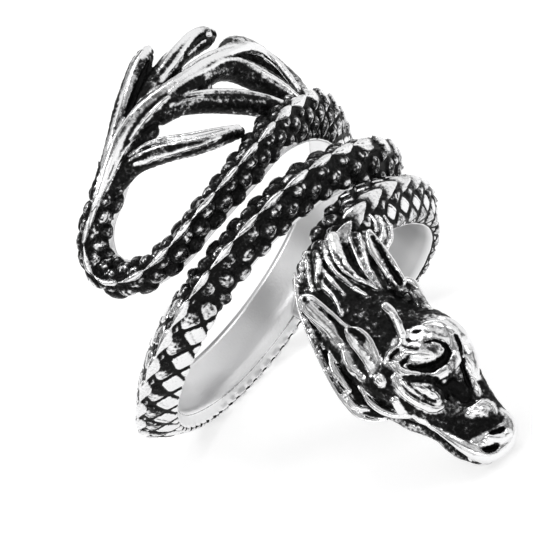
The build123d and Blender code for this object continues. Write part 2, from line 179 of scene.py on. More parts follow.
# The long strand: tail stem, U-turn, first front strand, back band, second front strand.
# Columns: turn angle, along (share of STEP), width (share of BAND), rise (share of RIDGE),
# bore (shift of the bore side, share of BAND), flat (0 beads, 1 flat scales),
# plate (half width of a ridge plate, mm)
LONG_STRAND = [
    (-3, -3.28, 0.74, 0.84, 0.00, 0.0, 0.20),
    (-12, -3.08, 0.74, 0.84, 0.00, 0.0, 0.20),
    (-22, -2.93, 0.74, 0.84, 0.00, 0.0, 0.20),
    (-29.5, -2.71, 0.82, 0.84, 0.00, 0.0, 0.22),
    (-34, -2.40, 0.88, 0.84, 0.00, 0.0, 0.24),
    (-34, -2.06, 0.88, 0.86, 0.00, 0.0, 0.26),
    (-30, -1.74, 0.82, 0.92, 0.00, 0.0, 0.26),
    (-23, -1.46, 0.74, 0.98, 0.00, 0.0, 0.26),
    (-12, -1.28, 0.72, 1.00, 0.00, 0.0, 0.26),
    (2, -1.28, 0.72, 1.00, 0.00, 0.0, 0.26),
    (16, -1.33, 0.78, 1.00, 0.00, 0.0, 0.28),
    (30, -1.46, 0.82, 1.00, 0.02, 0.0, 0.32),
    (45, -1.67, 0.84, 1.00, 0.06, 0.0, 0.36),
    (62, -1.87, 0.94, 1.00, 0.14, 0.5, 0.48),
    (78, -1.98, 1.00, 1.00, 0.21, 0.5, 0.55),
    (92, -1.93, 1.03, 1.00, 0.20, 0.6, 0.60),
    (110, -1.68, 1.03, 0.98, 0.11, 1.0, 0.60),
    (130, -1.38, 1.03, 0.96, 0.00, 1.0, 0.40),
    (150, -1.14, 1.03, 0.96, -0.08, 1.0, 0.35),
    (180, -0.80, 1.03, 0.96, -0.19, 1.0, 0.34),
    (210, -0.56, 1.03, 0.98, -0.23, 1.0, 0.42),
    (240, -0.38, 1.03, 1.04, -0.24, 1.0, 0.45),
    (270, -0.25, 1.03, 1.14, -0.24, 1.0, 0.46),
    (300, -0.20, 1.00, 1.12, -0.20, 1.0, 0.46),
    (320, -0.23, 1.00, 1.13, -0.15, 1.0, 0.44),
    (335, -0.27, 0.99, 1.13, -0.11, 1.0, 0.38),
    (347, -0.30, 0.99, 1.13, -0.09, 0.5, 0.30),
    (360, -0.33, 1.00, 1.13, -0.06, 0.0, 0.30),
    (390, -0.38, 1.02, 1.13, -0.03, 0.0, 0.33),
    (415, -0.38, 1.06, 1.13, 0.00, 0.0, 0.40),
    (437, -0.27, 1.19, 1.17, 0.00, 0.5, 0.66),
    (452, -0.28, 1.19, 1.09, 0.00, 0.5, 0.80),
    (475, -0.31, 1.02, 0.90, 0.00, 1.0, 0.50),
    (495, -0.27, 0.80, 0.64, 0.00, 1.0, 0.40),
    (508, -0.24, 0.60, 0.42, 0.00, 1.0, 0.30),
]

# The neck strand, from the hidden back over the right-hand side and into the head
NECK_STRAND = [
    (178, -0.58, 0.50, 0.50, 0.00, 1.0, 0.40),
    (174, -0.24, 0.80, 0.70, 0.00, 1.0, 0.50),
    (168, 0.12, 0.96, 0.84, 0.00, 1.0, 0.60),
    (158, 0.44, 1.04, 0.90, 0.00, 1.0, 0.60),
    (142, 0.65, 1.12, 0.92, 0.00, 1.0, 0.60),
    (120, 0.72, 1.18, 0.92, 0.00, 1.0, 0.62),
    (90, 0.73, 1.18, 0.92, 0.00, 1.0, 0.57),
    (67, 0.73, 1.18, 0.92, 0.00, 1.0, 0.57),
    (50, 0.76, 1.18, 0.94, 0.00, 1.0, 0.58),
    (38, 0.86, 1.22, 0.94, 0.00, 0.7, 0.56),
    (29, 1.04, 1.26, 0.88, 0.00, 0.5, 0.56),
    (21, 1.36, 1.30, 0.76, 0.00, 0.3, 0.30),
    (16, 1.80, 1.30, 0.66, 0.00, 0.2, 0.20),
    (14, 2.20, 1.20, 0.60, 0.00, 0.2, 0.20),
]

RING_SPACING = 0.075  # mesh rings along a strand
FLANK_COLUMNS = 36  # mesh columns from the ridge to the rim
WALL_COLUMNS = 12
BORE_COLUMNS = 9
BEAD_SIZE = (0.66, 0.56)  # half sizes along and across
BEAD_HEIGHTS = (0.26, 0.36, 0.34)  # in the row beside the plates, the next and the last
DROP_SIZE = (0.46, 0.66)
DROP_HEIGHT = 0.34
SCALE_HEIGHT = 0.13
TILE_HEIGHT = 0.30  # of a wide plate's free edge
BEVEL_LINE = 0.833  # place on the wall of the dark line in the bevel


@dataclass
class Look:
    """How one strand's detail differs from the other's."""

    seed: int
    pitch: float  # one scale, or one ridge plate, to the next
    flat_rows: float  # flat scales across a flank
    onto_wall: float  # how far the scales run down the wall
    slant: float  # how far a wide plate's free edge trails
    polish_and_highlight: tuple  # share of the second row of beads that is polished and carries painted ring highlights, at the start and at the end
    flare: float  # how far the bore's edge is eased on the head's side
    bore_shade: float  # painted shade that darkens the bore, from 1.9 to 3

    @property
    def full(self):
        """Whether the flat scales are the broad, clean ones over a lined bevel."""
        return self.flat_rows < ROWS


LONG_LOOK = Look(
    seed=11,
    pitch=2.12,
    flat_rows=1.27,
    onto_wall=0.0,
    slant=2.0,
    polish_and_highlight=(0.0, 1.0),
    flare=0.42,
    bore_shade=1.95,
)
NECK_LOOK = Look(
    seed=23,
    pitch=1.80,
    flat_rows=ROWS,
    onto_wall=0.35,
    slant=2.6,
    polish_and_highlight=(0.5, 0.5),
    flare=0.40,
    bore_shade=2.6,
)


class Strand:
    """A strand as rings along its way.

    A ring's columns run from the ridge down both flanks and walls, and then along the bore.
    """

    def __init__(self, table, look):
        rows = [(a, u * STEP, w * BAND, r * RIDGE, b * BAND, f, p) for a, u, w, r, b, f, p in table]
        places = [(math.radians(row[0]) * MIDDLE, row[1]) for row in rows]
        length = np.sum(np.linalg.norm(np.diff(places, axis=0), axis=1))
        stations, run = smooth(rows, places, int(length / RING_SPACING))
        columns = (column[:, None] for column in stations.T)
        self.angle, self.along, width, self.rise, self.bore, flat, self.plate = columns
        self.look, self.run = look, run[:, None]
        way = np.stack([np.radians(stations[:, 0]) * MIDDLE, stations[:, 1]], axis=1)
        heading = np.gradient(way, axis=0)
        self.heading = heading / np.linalg.norm(heading, axis=1)[:, None]
        self.head_side = np.sign(self.heading[:, :1])  # the edge that faces the head
        self.hidden = smoothstep(75, 112, self.angle) * (1 - smoothstep(215, 250, self.angle))

        # each column's side, its share of the flank and its share of the wall below
        flank = np.linspace(0, 1, FLANK_COLUMNS + 1)
        wall = np.linspace(0, 1, WALL_COLUMNS + 1)[1:]
        outer = np.concatenate([-wall[::-1] - 1, -flank[::-1], flank[1:], wall + 1])
        self.side = np.sign(outer)[None, :]
        self.share = np.minimum(np.abs(outer), 1)[None, :]
        self.wall = np.clip(np.abs(outer) - 1, 0, 1)[None, :]
        self.half = width / 2 - 0.14 * (1 - flat)
        self.from_ridge = self.share * self.half

        # where the flanks carry beads, flat scales, and the drops between the two
        self.as_bead = 1 - smoothstep(0.05, 0.45, flat)
        self.as_scale = smoothstep(0.55, 0.95, flat)
        self.as_drop = 1 - self.as_bead - self.as_scale
        self.onto_wall = np.maximum(look.onto_wall, 0.35 * self.as_drop)
        self.down_wall = np.minimum(self.onto_wall * 3, 1)
        rim_end = 0.6 + 0.4 * self.down_wall
        self.rim_fade = np.where(self.wall > 0, 1 - smoothstep(rim_end - 0.5, rim_end, self.wall), 1)

        fine_x, fine_y = self.run / 0.17, self.from_ridge / 0.17 + self.side * 31
        self.grit = grain(fine_x, fine_y, look.seed + 5)
        self.streak = noise(fine_x * 0.35, fine_y * 1.4, look.seed + 6)

    def plain_form(self):
        """Distances across and heights: a keel from rim to ridge and a wall down to the bore."""
        side, wall, half = self.side, self.wall, self.half
        flank = RIM + (self.rise - RIM) * (1 - self.share**1.35)
        bevel = side * half * (1 - 0.06 * wall**2) + self.bore * wall**1.5
        across = np.where(wall > 0, bevel, side * half * self.share)
        eased = self.look.flare * (side * self.head_side > 0) * self.hidden
        return across, np.where(wall > 0, RIM + (eased - RIM) * wall, flank)

    def flanks(self):
        """Height and brightness of the beads, drops and flat scales, in slanting rows, with painted
        highlights on the beads and drops.
        """
        look, run, side, seed = self.look, self.run, self.side, self.look.seed
        count = ROWS + (look.flat_rows - ROWS) * self.as_scale
        s = run / look.pitch + 0.05 * noise(run / 2.3, side + 0 * run, seed)
        out = (self.share + self.onto_wall * self.wall) * count
        out = out + 0.03 * noise(run / 1.7, self.share * 4 + side * 7, seed + 3)
        a, b = s + out, s - out
        row = np.floor(a) - np.floor(b)
        fa, fb = a - np.floor(a) - 0.5, b - np.floor(b) - 0.5
        slope = np.hypot(self.half, self.rise - RIM)  # from ridge to rim along the flank
        x, y = (fa + fb) / 2 * look.pitch, (fa - fb) / 2 * slope / ROWS
        wander = 1 + 0.14 * grain(run / 0.5, self.from_ridge / 0.5 + side * 17, seed + 9)
        away = np.hypot(x / BEAD_SIZE[0], y / BEAD_SIZE[1]) * wander
        drop_away = np.hypot(x / DROP_SIZE[0], y / DROP_SIZE[1]) * wander
        edge = 2 * (fa**6 + fb**6) ** (1 / 6)
        tight = 0.10 * self.as_scale * look.full
        diamond = (1 - smoothstep(0.60 + tight, 0.80 + tight, edge)) * (1 - 0.2 * edge**2)
        under_plate = self.plate * 0.7 * (1 - 0.35 * self.as_scale * look.full)
        near_plate = smoothstep(0.0, 1.0, (self.from_ridge - under_plate) / 0.3)

        first, second, last = BEAD_HEIGHTS
        height = np.where(row == 1, first, np.where(row == 2, second, last))
        relief = self.as_scale * SCALE_HEIGHT * diamond
        relief = relief + self.as_drop * (DROP_HEIGHT * dome(drop_away) - 0.08)
        relief = (relief + self.as_bead * (height * dome(away) - 0.10)) * self.rim_fade * near_plate
        pits = self.as_bead * np.where(row == 1, 0.06, 0.025)
        pits = self.grit * (pits + 0.04 * self.as_scale * bell(self.share, 0.33, 0.16))
        pits = pits + (1 - self.as_scale) * 0.025 * self.streak

        # which side of each drop gets the stronger painted highlight
        drop_lit_side = (x / DROP_SIZE[0] + y / DROP_SIZE[1]) / 1.4
        shine = self.as_scale * smoothstep(0.15, 0.5, diamond) * self.scale_shine(s, out, row, fa, fb)
        shine = shine + self.as_drop * self.drop_specks_and_highlight(drop_away, drop_lit_side)
        shine = shine + self.as_bead * self.bead_specks_and_highlights(away, row)
        return relief + pits * self.rim_fade, shine * near_plate

    def scale_shine(self, s, out, row, fa, fb):
        """Flat scales: clean ones with a fine line, and speckled ones beside the plates."""
        grit, full = self.grit, self.look.full
        speckled = 0.12 + 0.65 * smoothstep(-0.3, 0.2, -fa - 0.3 * fb) + 0.7 * grit
        speckled = np.where((self.side < 0) & full, 0.75 + 0.4 * grit, speckled)
        broken = np.clip(noise(s * 3.1, out * 3.1, self.look.seed + 12) + 0.5, 0, 1)
        clean = 1.06 - 0.72 * bell(fa + 0.05 * grit, -0.16, 0.05) * broken
        clean = np.where(row == 3, 1.1 if full else 0.60 + 0.30 * grit, clean)
        return np.where(row == 1, speckled, clean)

    def drop_specks_and_highlight(self, away, across):
        """Drops: a painted highlight round the rim, brightest on one side, round a speckled top."""
        # the rim's brightness is a painted highlight, stronger towards one side
        rim = bell(away, 0.74, 0.15) * (0.50 + 0.60 * smoothstep(0.0, 0.6, across))
        return rim + (away < 0.6) * (0.40 + 0.5 * self.grit)

    def bead_specks_and_highlights(self, away, row):
        """Beads: black with specks on top, and where polished a painted ring highlight and dot on the
        top; one flank is lifted a little by painted light.
        """
        grit, side = self.grit, self.side
        start, end = self.look.polish_and_highlight
        polish_and_highlight = start + (end - start) * self.run / self.run[-1]
        # a painted ring highlight and a painted highlight dot, standing in for reflections on the
        # polished beads
        ring = bell(away, 0.50, 0.14) * (0.55 + 0.95 * grit)
        highlight_dot = bell(away, 0.0, 0.24) * 0.6
        specks = (1 - smoothstep(0.45, 1.0, away)) * (0.36 + 1.0 * grit)
        # the painted highlights are full on the flank with side above 0 and weaker on the other
        polished = np.maximum(ring, highlight_dot) * (side > 0) + 0.55 * ring * (side < 0)
        shine = np.where(row == 2, polish_and_highlight * polished + (1 - polish_and_highlight) * specks, specks)
        last = (0.25 + 0.6 * polish_and_highlight) * (1 - smoothstep(0.3, 0.8, away))
        shine = np.where(row == 3, last, shine)
        # the flank with side below 0 is lifted towards grey as painted light
        return np.clip(shine, 0, 1) + 0.10 + 0.10 * (side < 0) * (0.5 + self.streak)

    def plates(self):
        """Height and brightness of the plates on the ridge, each drawn to a point.

        Narrow ones close before the next begins, and wide ones are chevrons that overlap
        like tiles, each darkened by a painted shadow where it runs under the raised edge of the next.
        """
        look, run, plate, grit = self.look, self.run, self.plate, self.grit
        wide = smoothstep(0.48, 0.54, plate)
        turn = run / look.pitch + 0.5
        f = turn - np.floor(turn)
        reach = plate * (0.12 + 0.88 * np.sin(math.pi * np.clip(f, 0.002, 1) ** 1.5) ** 0.8)
        x = self.from_ridge / reach
        tent = np.clip(1 - x, 0, 1)
        narrow = tent**0.85 * (reach / plate) ** 0.5 * (0.14 + 0.12 * f)
        turn = (run - look.slant * self.from_ridge) / look.pitch + 0.5 + 0.03 * grit
        g = turn - np.floor(turn)
        cover = 1 - smoothstep(0.80, 1.20, self.from_ridge / plate + 0.3 * (g - 0.3))
        tile = cover * (TILE_HEIGHT * (1 - g) ** 0.8) * smoothstep(0.0, 0.06, g)
        beside = (1 - smoothstep(0.0, 0.15, tent)) * (1 - smoothstep(0.8, 2.0, self.from_ridge / plate))
        height = (1 - wide) * narrow + wide * tile - 0.10 * (1 - wide) * beside

        line = bell(x * self.side, 0.25, 0.07) * (1 - smoothstep(0.35, 0.6, f))
        worn = 1 - 0.55 * smoothstep(0.82, 1.0, f + 0.10 * grit) - 0.8 * line
        scratches = noise(run / 1.1, self.from_ridge / 0.09 + self.side * 5, look.seed + 8)
        worn = worn - 0.35 * np.clip(scratches, 0, 1)
        worn = worn + self.as_scale * (0.95 - worn) * 0.8
        narrow_shine = smoothstep(0.0, 0.12, tent) * worn
        unshaded_share = 0.72 - 0.75 * np.clip(self.from_ridge / 0.80, 0, 1) ** 0.8  # share of a tile before its painted shadow
        # past that share a tile darkens as painted shadow under the next tile's raised edge
        tile_shine_and_shadow = 1.0 - 0.85 * smoothstep(unshaded_share - 0.12, unshaded_share + 0.30, g) + 0.25 * grit
        tile_shine_and_shadow = cover * tile_shine_and_shadow * smoothstep(0.0, 0.06, g)
        tile_shine_and_shadow = tile_shine_and_shadow * (1 - 0.5 * np.clip(self.streak, 0, 1))
        return height, (1 - wide) * narrow_shine + wide * tile_shine_and_shadow

    def finished(self):
        """The strand's rings and their brightness."""
        across, lift = self.plain_form()
        relief, shine = self.flanks()
        height, plate_shine = self.plates()
        d_across, d_lift = np.gradient(across, axis=1), np.gradient(lift, axis=1)
        size = np.hypot(d_across, d_lift) + 1e-9
        push = relief + height  # straight out of the section
        across = across - push * d_lift / size
        lift = np.maximum(lift + push * d_across / size, 0)

        under = np.linspace(1, -1, BORE_COLUMNS + 2)[None, 1:-1]
        under_across = under * self.half * 0.90 + self.bore
        eased = self.look.flare * (under * self.head_side > 0) * under**4 * self.hidden
        across = np.concatenate([across, under_across], axis=1)
        lift = np.concatenate([lift, eased + 0 * under_across], axis=1)
        angle = self.angle - np.degrees(across * self.heading[:, 1:] / MIDDLE)
        rings = on_finger(angle, self.along + across * self.heading[:, :1], BORE + lift)

        shine = np.maximum(shine, plate_shine)
        first = 0.15 + 0.65 * self.down_wall
        lines = 1.6 * bell(self.wall, BEVEL_LINE, 0.045) * self.look.full
        # the wall takes the bore's brightness of 2.0, for its roughness and a little painted shade
        bevel = smoothstep(first, first + 0.15, self.wall) * (2.0 - lines)
        on_wall = np.maximum(shine * self.rim_fade, bevel) - 0.6 * bell(self.wall, first, 0.08)
        shine = np.where(self.wall > 0, on_wall, shine)
        # the bore's brightness, past 1.9, sets its painted shade, varied at random
        drift = 0.25 * noise(self.angle / 9, under_across / 1.3, self.look.seed + 11)
        return rings, np.concatenate([shine, self.look.bore_shade + drift], axis=1)


def long_strand(material):
    """The long strand as three pieces that join ring to ring."""
    rings, shine = Strand(LONG_STRAND, LONG_LOOK).finished()
    cuts = [0, int(0.34 * len(rings)), int(0.68 * len(rings)), len(rings) - 1]
    names = ("first_front_strand", "back_band", "second_front_strand")
    for name, start, end in zip(names, cuts, cuts[1:]):
        part, closed = slice(start, end + 1), (start == 0, end == cuts[-1])
        piece = swept(name, rings[part], shine[part], material, closed)
        if start == 0:
            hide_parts("dragon_ring")


# The head. Its frame has x along the finger, w across, and h up from the bore's surface.
CELL = 0.09  # grid of the carved field
CLAY_LOW, CLAY_HIGH = (2.0, -7.2, 9.9), (22.3, 6.0, 16.1)

# Skull and jaw: x, middle, half width, low, high
SKULL = [
    (2.6, 0.6, 1.7, 0.1, 1.7),
    (4.0, 0.1, 2.2, 0.1, 2.1),
    (5.6, -0.6, 2.6, 0.1, 2.5),
    (7.2, -1.0, 3.0, 0.1, 2.9),
    (9.0, -1.2, 3.3, 0.1, 3.3),
    (10.8, -1.2, 3.5, 0.1, 3.7),
    (12.4, -1.1, 3.7, 0.2, 4.4),
    (14.0, -1.1, 3.5, 0.4, 4.6),
    (15.4, -1.2, 3.0, 0.9, 4.1),
    (16.8, -1.25, 2.52, 1.4, 3.4),
    (18.1, -1.38, 2.18, 1.6, 3.2),
    (19.4, -1.52, 2.04, 1.6, 3.3),
    (20.5, -1.55, 1.86, 1.6, 3.2),
    (21.3, -1.6, 1.3, 1.8, 2.8),
]
JAW = [
    (10.8, -1.8, 3.3, 0.1, 1.5),
    (12.6, -1.8, 3.2, 0.1, 1.6),
    (14.0, -1.7, 2.92, 0.1, 1.6),
    (15.6, -1.65, 2.6, 0.1, 1.5),
    (16.6, -1.6, 2.25, 0.15, 1.45),
    (17.4, -1.6, 2.0, 0.15, 1.4),
    (18.5, -1.65, 1.93, 0.2, 1.35),
    (19.8, -1.65, 1.62, 0.3, 1.3),
    (20.6, -1.7, 1.1, 0.5, 1.25),
]

# Strokes: way, blend, brightness, and rows of x, w, h, half width and half thickness. Where
# the thickness isn't given, it is the width. "add" puts on and "cut" takes off. "lay" and
# "carve" do the same with h up from the surface as seen from above. "stain" and "tint" only
# colour, the first through space and the second along that surface.
HEAD_STROKES = [
    # left ear, a spear with two rims
    ("add", 0.2, 0.92, (5.1, -3.05, 2.7, 0.35, 0.3), (6.5, -3.1, 2.7, 0.5, 0.32),
     (8.5, -3.2, 2.7, 0.55, 0.35), (10, -3.6, 2.6, 0.5, 0.4)),
    ("add", 0.05, 1, (5, -3, 2.95, 0.2), (5.3, -2.68, 3.05, 0.17), (6.1, -2.6, 3.1, 0.16),
     (7.2, -2.6, 3.15, 0.15), (8.6, -2.6, 3.2, 0.12, 0.14)),
    ("add", 0.05, 1, (5, -3.2, 2.85, 0.2), (5.6, -3.5, 2.75, 0.17), (6.6, -3.55, 2.75, 0.15),
     (7.8, -3.55, 2.75, 0.14, 0.15), (9.3, -3.8, 2.8, 0.12, 0.15)),
    ("cut", 0.03, 0, (5.2, -3.05, 3.12, 0.12), (5.45, -3.05, 3.12, 0.12)),
    ("tint", 0, 0.2, (6.3, -2.78, 0, 0.02, 0.2), (7.2, -2.78, 0, 0.08, 0.2),
     (8.2, -2.85, 0, 0.12, 0.2)),
    ("stain", 0, 0, (7.4, -2.85, 3, 0.06, 0.2), (8.2, -2.9, 3, 0.2, 0.25), (9, -3.1, 3.05, 0.3)),
    # leaf behind the cheek knob
    ("add", 0.15, 0.95, (9, -3, 3.95, 0.25), (10, -3, 3.85, 0.5, 0.3), (11.4, -3.3, 3.7, 0.5, 0.35),
     (12.8, -3.6, 3.4, 0.35)),
    ("add", 0.05, 1, (8.95, -3, 4.1, 0.16), (9.4, -2.6, 4.15, 0.18, 0.17),
     (10.3, -2.5, 4.15, 0.2, 0.17), (11.2, -2.8, 4.05, 0.2, 0.16), (12, -3.2, 3.9, 0.12, 0.14)),
    ("add", 0.05, 1, (8.95, -3.05, 4, 0.16), (9.4, -3.35, 3.85, 0.15), (10.3, -3.55, 3.8, 0.14, 0.15),
     (11.2, -3.75, 3.7, 0.13, 0.15), (12.1, -4, 3.6, 0.1, 0.14)),
    ("cut", 0.03, 0, (9.1, -2.95, 4.2, 0.14), (9.6, -2.85, 4.2, 0.18, 0.16),
     (10.2, -2.85, 4.15, 0.13, 0.12)),
    ("tint", 0, 0.25, (9.8, -3.12, 0, 0.02, 0.2), (10.7, -3.2, 0, 0.04, 0.2),
     (11.8, -3.5, 0, 0.03, 0.2)),
    # fins along the left cheek
    ("add", 0.2, 0.05, (3.4, -1.9, 1.3, 0.3), (5.2, -2.9, 1.3, 0.5, 0.4), (7, -3.6, 1.35, 0.6, 0.45),
     (9.1, -4.4, 1.35, 0.75, 0.45), (11.4, -5, 1.35, 0.8, 0.45), (12.8, -5.1, 1.4, 0.8, 0.4),
     (13.9, -4.8, 1.5, 0.5, 0.4)),
    ("add", 0.04, 0.9, (3, -1.7, 1.5, 0.1, 0.12), (4.9, -3.25, 1.5, 0.12, 0.14),
     (6, -3.85, 1.5, 0.12, 0.14), (7.2, -4.4, 1.5, 0.13, 0.14), (8.6, -5, 1.5, 0.14),
     (9.9, -5.5, 1.5, 0.15), (11, -5.85, 1.5, 0.16), (12, -6, 1.5, 0.2, 0.16),
     (13, -6, 1.5, 0.22, 0.16), (13.8, -5.6, 1.5, 0.18, 0.15), (14.4, -5, 1.6, 0.1)),
    ("add", 0.04, 0.3, (5.2, -3.3, 1.9, 0.1, 0.12), (6.3, -3.95, 1.85, 0.12, 0.14),
     (7.6, -4.45, 1.85, 0.13, 0.14), (8.7, -4.85, 1.85, 0.13, 0.14), (10.1, -5.35, 1.85, 0.12, 0.14),
     (11.3, -5.65, 1.8, 0.1, 0.12)),
    ("add", 0.04, 0.45, (6, -3.65, 2, 0.1, 0.14), (7.2, -4.1, 2, 0.12, 0.14),
     (8.2, -4.35, 2, 0.08, 0.12)),
    ("add", 0.04, 0.8, (5.1, -3.3, 2.35, 0.1, 0.14), (6.1, -3.5, 2.35, 0.14, 0.16),
     (7.6, -3.65, 2.3, 0.14, 0.16), (8.6, -3.85, 2.2, 0.1, 0.14)),
    ("add", 0.05, 1, (8.75, -4.4, 2.15, 0.14, 0.09), (9.4, -4.8, 2.15, 0.24, 0.1),
     (10, -5.05, 2.15, 0.28, 0.1), (10.6, -5.15, 2.1, 0.24, 0.1), (11.4, -5.3, 2, 0.18, 0.12)),
    ("add", 0.05, 1, (11.2, -5.45, 1.75, 0.12, 0.14), (12, -5.75, 1.75, 0.2, 0.16),
     (12.6, -5.7, 1.75, 0.16, 0.15), (13, -5.4, 1.75, 0.1)),
    # cheek
    ("add", 0.12, 0.6, (9.3, -3.7, 2.8, 0.25, 0.3), (10.4, -4.25, 2.8, 0.35, 0.3),
     (11.4, -4.35, 2.85, 0.3), (12.3, -4.2, 3, 0.15, 0.2)),
    ("add", 0.05, 1, (9.6, -4, 3, 0.1, 0.12), (10.6, -4.4, 3, 0.12, 0.14),
     (11.3, -4.4, 3.05, 0.12, 0.14), (12.2, -4.15, 3.15, 0.08, 0.1)),
    ("add", 0.05, 1, (12, -4.8, 2.4, 0.12, 0.14), (12.8, -5.05, 2.4, 0.22, 0.2),
     (13.7, -5.05, 2.4, 0.26, 0.22), (14.6, -4.75, 2.45, 0.24, 0.2), (15.5, -4.2, 2.6, 0.14, 0.16)),
    ("add", 0.05, 0.95, (11.7, -4.85, 2.3, 0.08, 0.1), (12.8, -5.15, 2.25, 0.08, 0.1)),
    ("lay", 0.06, 1, (12.75, -4.05, 0.05, 0.33, 0.3), (12.95, -4.1, 0.05, 0.3, 0.28)),
    ("lay", 0.06, 0.95, (14.4, -4.25, 0.02, 0.3, 0.25), (14.9, -4.3, 0, 0.32, 0.22)),
    ("stain", 0, 0, (14.8, -3.8, 3.6, 0.3, 0.4), (15.3, -3.75, 3.3, 0.2, 0.3)),
    # brow mass and the swirl round its groove
    ("stain", 0, 0.78, (12.3, -1.2, 4.5, 0.9, 1.2), (13.8, -0.8, 4.6, 1.9, 1.4),
     (14.6, -0.6, 4.4, 1.5, 1.4)),
    ("tint", 0, 0.48, (12.1, 1.2, 0, 0.35, 0.4), (12.9, 1.9, 0, 0.4)),
    ("lay", 0.12, 0.95, (12.8, -2.9, 0, 0.2, 0.25), (13.9, -2.75, 0, 0.36, 0.34),
     (14.7, -2.2, 0, 0.42, 0.36), (15.25, -1.2, 0, 0.48, 0.38), (15.3, -0.1, 0, 0.5, 0.38),
     (15, 0.7, 0, 0.44, 0.36), (14.4, 1.25, 0, 0.38, 0.34), (13.6, 1.5, 0, 0.32, 0.3),
     (12.8, 1.3, 0, 0.26, 0.28), (12.3, 0.7, 0, 0.2, 0.24)),
    ("lay", 0.1, 0.95, (11.9, -0.9, 0.05, 0.3), (12.3, -1.7, 0.05, 0.25, 0.28),
     (12.1, -2.4, 0, 0.16, 0.2), (12.5, -2.95, 0, 0.16, 0.2), (13.1, -2.7, 0, 0.16, 0.2)),
    ("carve", 0.05, 0, (13.7, -2.25, 0, 0.14, 0.25), (14.1, -2.05, 0, 0.25, 0.32),
     (14.6, -1.5, 0, 0.3, 0.36), (14.87, -0.75, 0, 0.3, 0.36), (14.8, -0.05, 0, 0.24, 0.34),
     (14.45, 0.35, 0, 0.19, 0.3), (13.95, 0.35, 0, 0.12, 0.25), (13.5, 0.05, 0, 0.08, 0.2),
     (13.25, -0.4, 0, 0.05, 0.15)),
    ("lay", 0.08, 1, (12.9, -1.8, 0, 0.26, 0.2), (13.6, -1.35, 0.05, 0.3, 0.24),
     (14.2, -0.75, 0.02, 0.2)),
    ("stain", 0, 0.3, (13.95, -0.35, 4.7, 0.3, 0.5)),
    ("carve", 0.03, 0, (12.3, -2.5, 0, 0.12, 0.22), (12.35, -2, 0, 0.12, 0.22)),
    ("carve", 0.03, 0, (13.2, -2.5, 0, 0.08, 0.2), (13.2, -2.2, 0, 0.1, 0.2),
     (13.2, -1.9, 0, 0.07, 0.15)),
    ("carve", 0.03, 0.05, (12.2, -0.25, 0, 0.06, 0.16), (12.4, 0, 0, 0.08, 0.18)),
    ("tint", 0, 0.3, (12.7, -0.7, 0, 0.05, 0.2), (12.95, -0.35, 0, 0.07, 0.2),
     (13.1, -0.1, 0, 0.04, 0.2)),
    ("tint", 0, 0.2, (12.35, -1.55, 0, 0.04, 0.2), (12.9, -1.25, 0, 0.06, 0.2),
     (13.3, -1, 0, 0.03, 0.2)),
    ("tint", 0, 0.2, (12.2, -1, 0, 0.05, 0.2), (12.6, -0.85, 0, 0.04, 0.2)),
    ("tint", 0, 0.25, (12.7, 0.2, 0, 0.04, 0.2), (13.2, 0.55, 0, 0.05, 0.2),
     (13.9, 0.85, 0, 0.02, 0.2)),
    ("tint", 0, 0.42, (15.2, 0.1, 0, 0.2, 0.4), (15.7, -0.45, 0, 0.35, 0.4), (16.1, -1, 0, 0.3, 0.4)),
    # left eye between its lids
    ("carve", 0.06, 0, (14, -3.1, 0, 0.13, 0.2), (14.6, -2.6, 0, 0.2, 0.28),
     (15.05, -2.1, 0, 0.22, 0.28), (15.6, -1.7, -0.03, 0.22, 0.28), (16.2, -1.55, -0.03, 0.2, 0.26),
     (16.6, -1.85, 0, 0.14, 0.2)),
    ("lay", 0.12, 1, (14.65, -2.95, 0.02, 0.15, 0.16), (15.2, -2.72, 0.08, 0.27, 0.24),
     (15.7, -2.55, 0.08, 0.28, 0.24), (16.15, -2.35, 0.04, 0.18)),
    ("lay", 0.03, 1, (13.9, -3.25, 0, 0.1, 0.12), (14.8, -3.22, 0.04, 0.15),
     (15.6, -3.03, 0.04, 0.16, 0.15), (16.25, -2.72, 0.03, 0.14), (16.5, -2.35, 0, 0.1, 0.12)),
    ("lay", 0.05, 1, (13.4, -3.35, 0, 0.15, 0.17), (14.3, -3.66, 0.04, 0.24, 0.22),
     (15.1, -3.56, 0.05, 0.26, 0.24), (15.9, -3.28, 0.05, 0.26, 0.24), (16.6, -2.85, 0.04, 0.22, 0.2),
     (16.8, -2.5, 0.02, 0.12, 0.14)),
    ("tint", 0, 0.15, (14.1, -3.48, 0, 0.03, 0.2), (15, -3.4, 0, 0.05, 0.25),
     (15.75, -3.17, 0, 0.05, 0.25), (16.35, -2.85, 0, 0.03, 0.2)),
    ("tint", 0, 0.1, (14.4, -3.12, 0, 0.03, 0.2), (15.2, -3.03, 0, 0.03, 0.2),
     (15.9, -2.82, 0, 0.03, 0.2), (16.25, -2.55, 0, 0.03, 0.2)),
    ("tint", 0, 0.2, (15, -2.8, 0, 0.02, 0.2), (15.3, -2.6, 0, 0.04, 0.2),
     (15.45, -2.4, 0, 0.03, 0.2), (15.7, -2.35, 0, 0.02, 0.2)),
    # right brow, channel and eye
    ("lay", 0.08, 0.95, (12.6, 1.7, 0, 0.22, 0.24), (13.4, 1.95, 0.02, 0.38, 0.34),
     (14.6, 1.8, 0.08, 0.44, 0.38), (15.7, 1.42, 0.1, 0.4, 0.36), (16.4, 1, 0.08, 0.3, 0.28),
     (16.9, 0.65, 0.02, 0.16, 0.2)),
    ("carve", 0.05, 0, (14.3, 1.4, 0, 0.08, 0.2), (15.1, 0.98, 0, 0.13, 0.26),
     (15.7, 0.5, 0, 0.15, 0.28), (16.3, 0.1, 0, 0.17, 0.28), (17.2, -0.2, 0, 0.15, 0.25)),
    ("lay", 0.04, 0.9, (15.6, 0.95, 0.08, 0.14, 0.16), (16.1, 0.8, 0.1, 0.2),
     (16.6, 0.6, 0.06, 0.14, 0.16)),
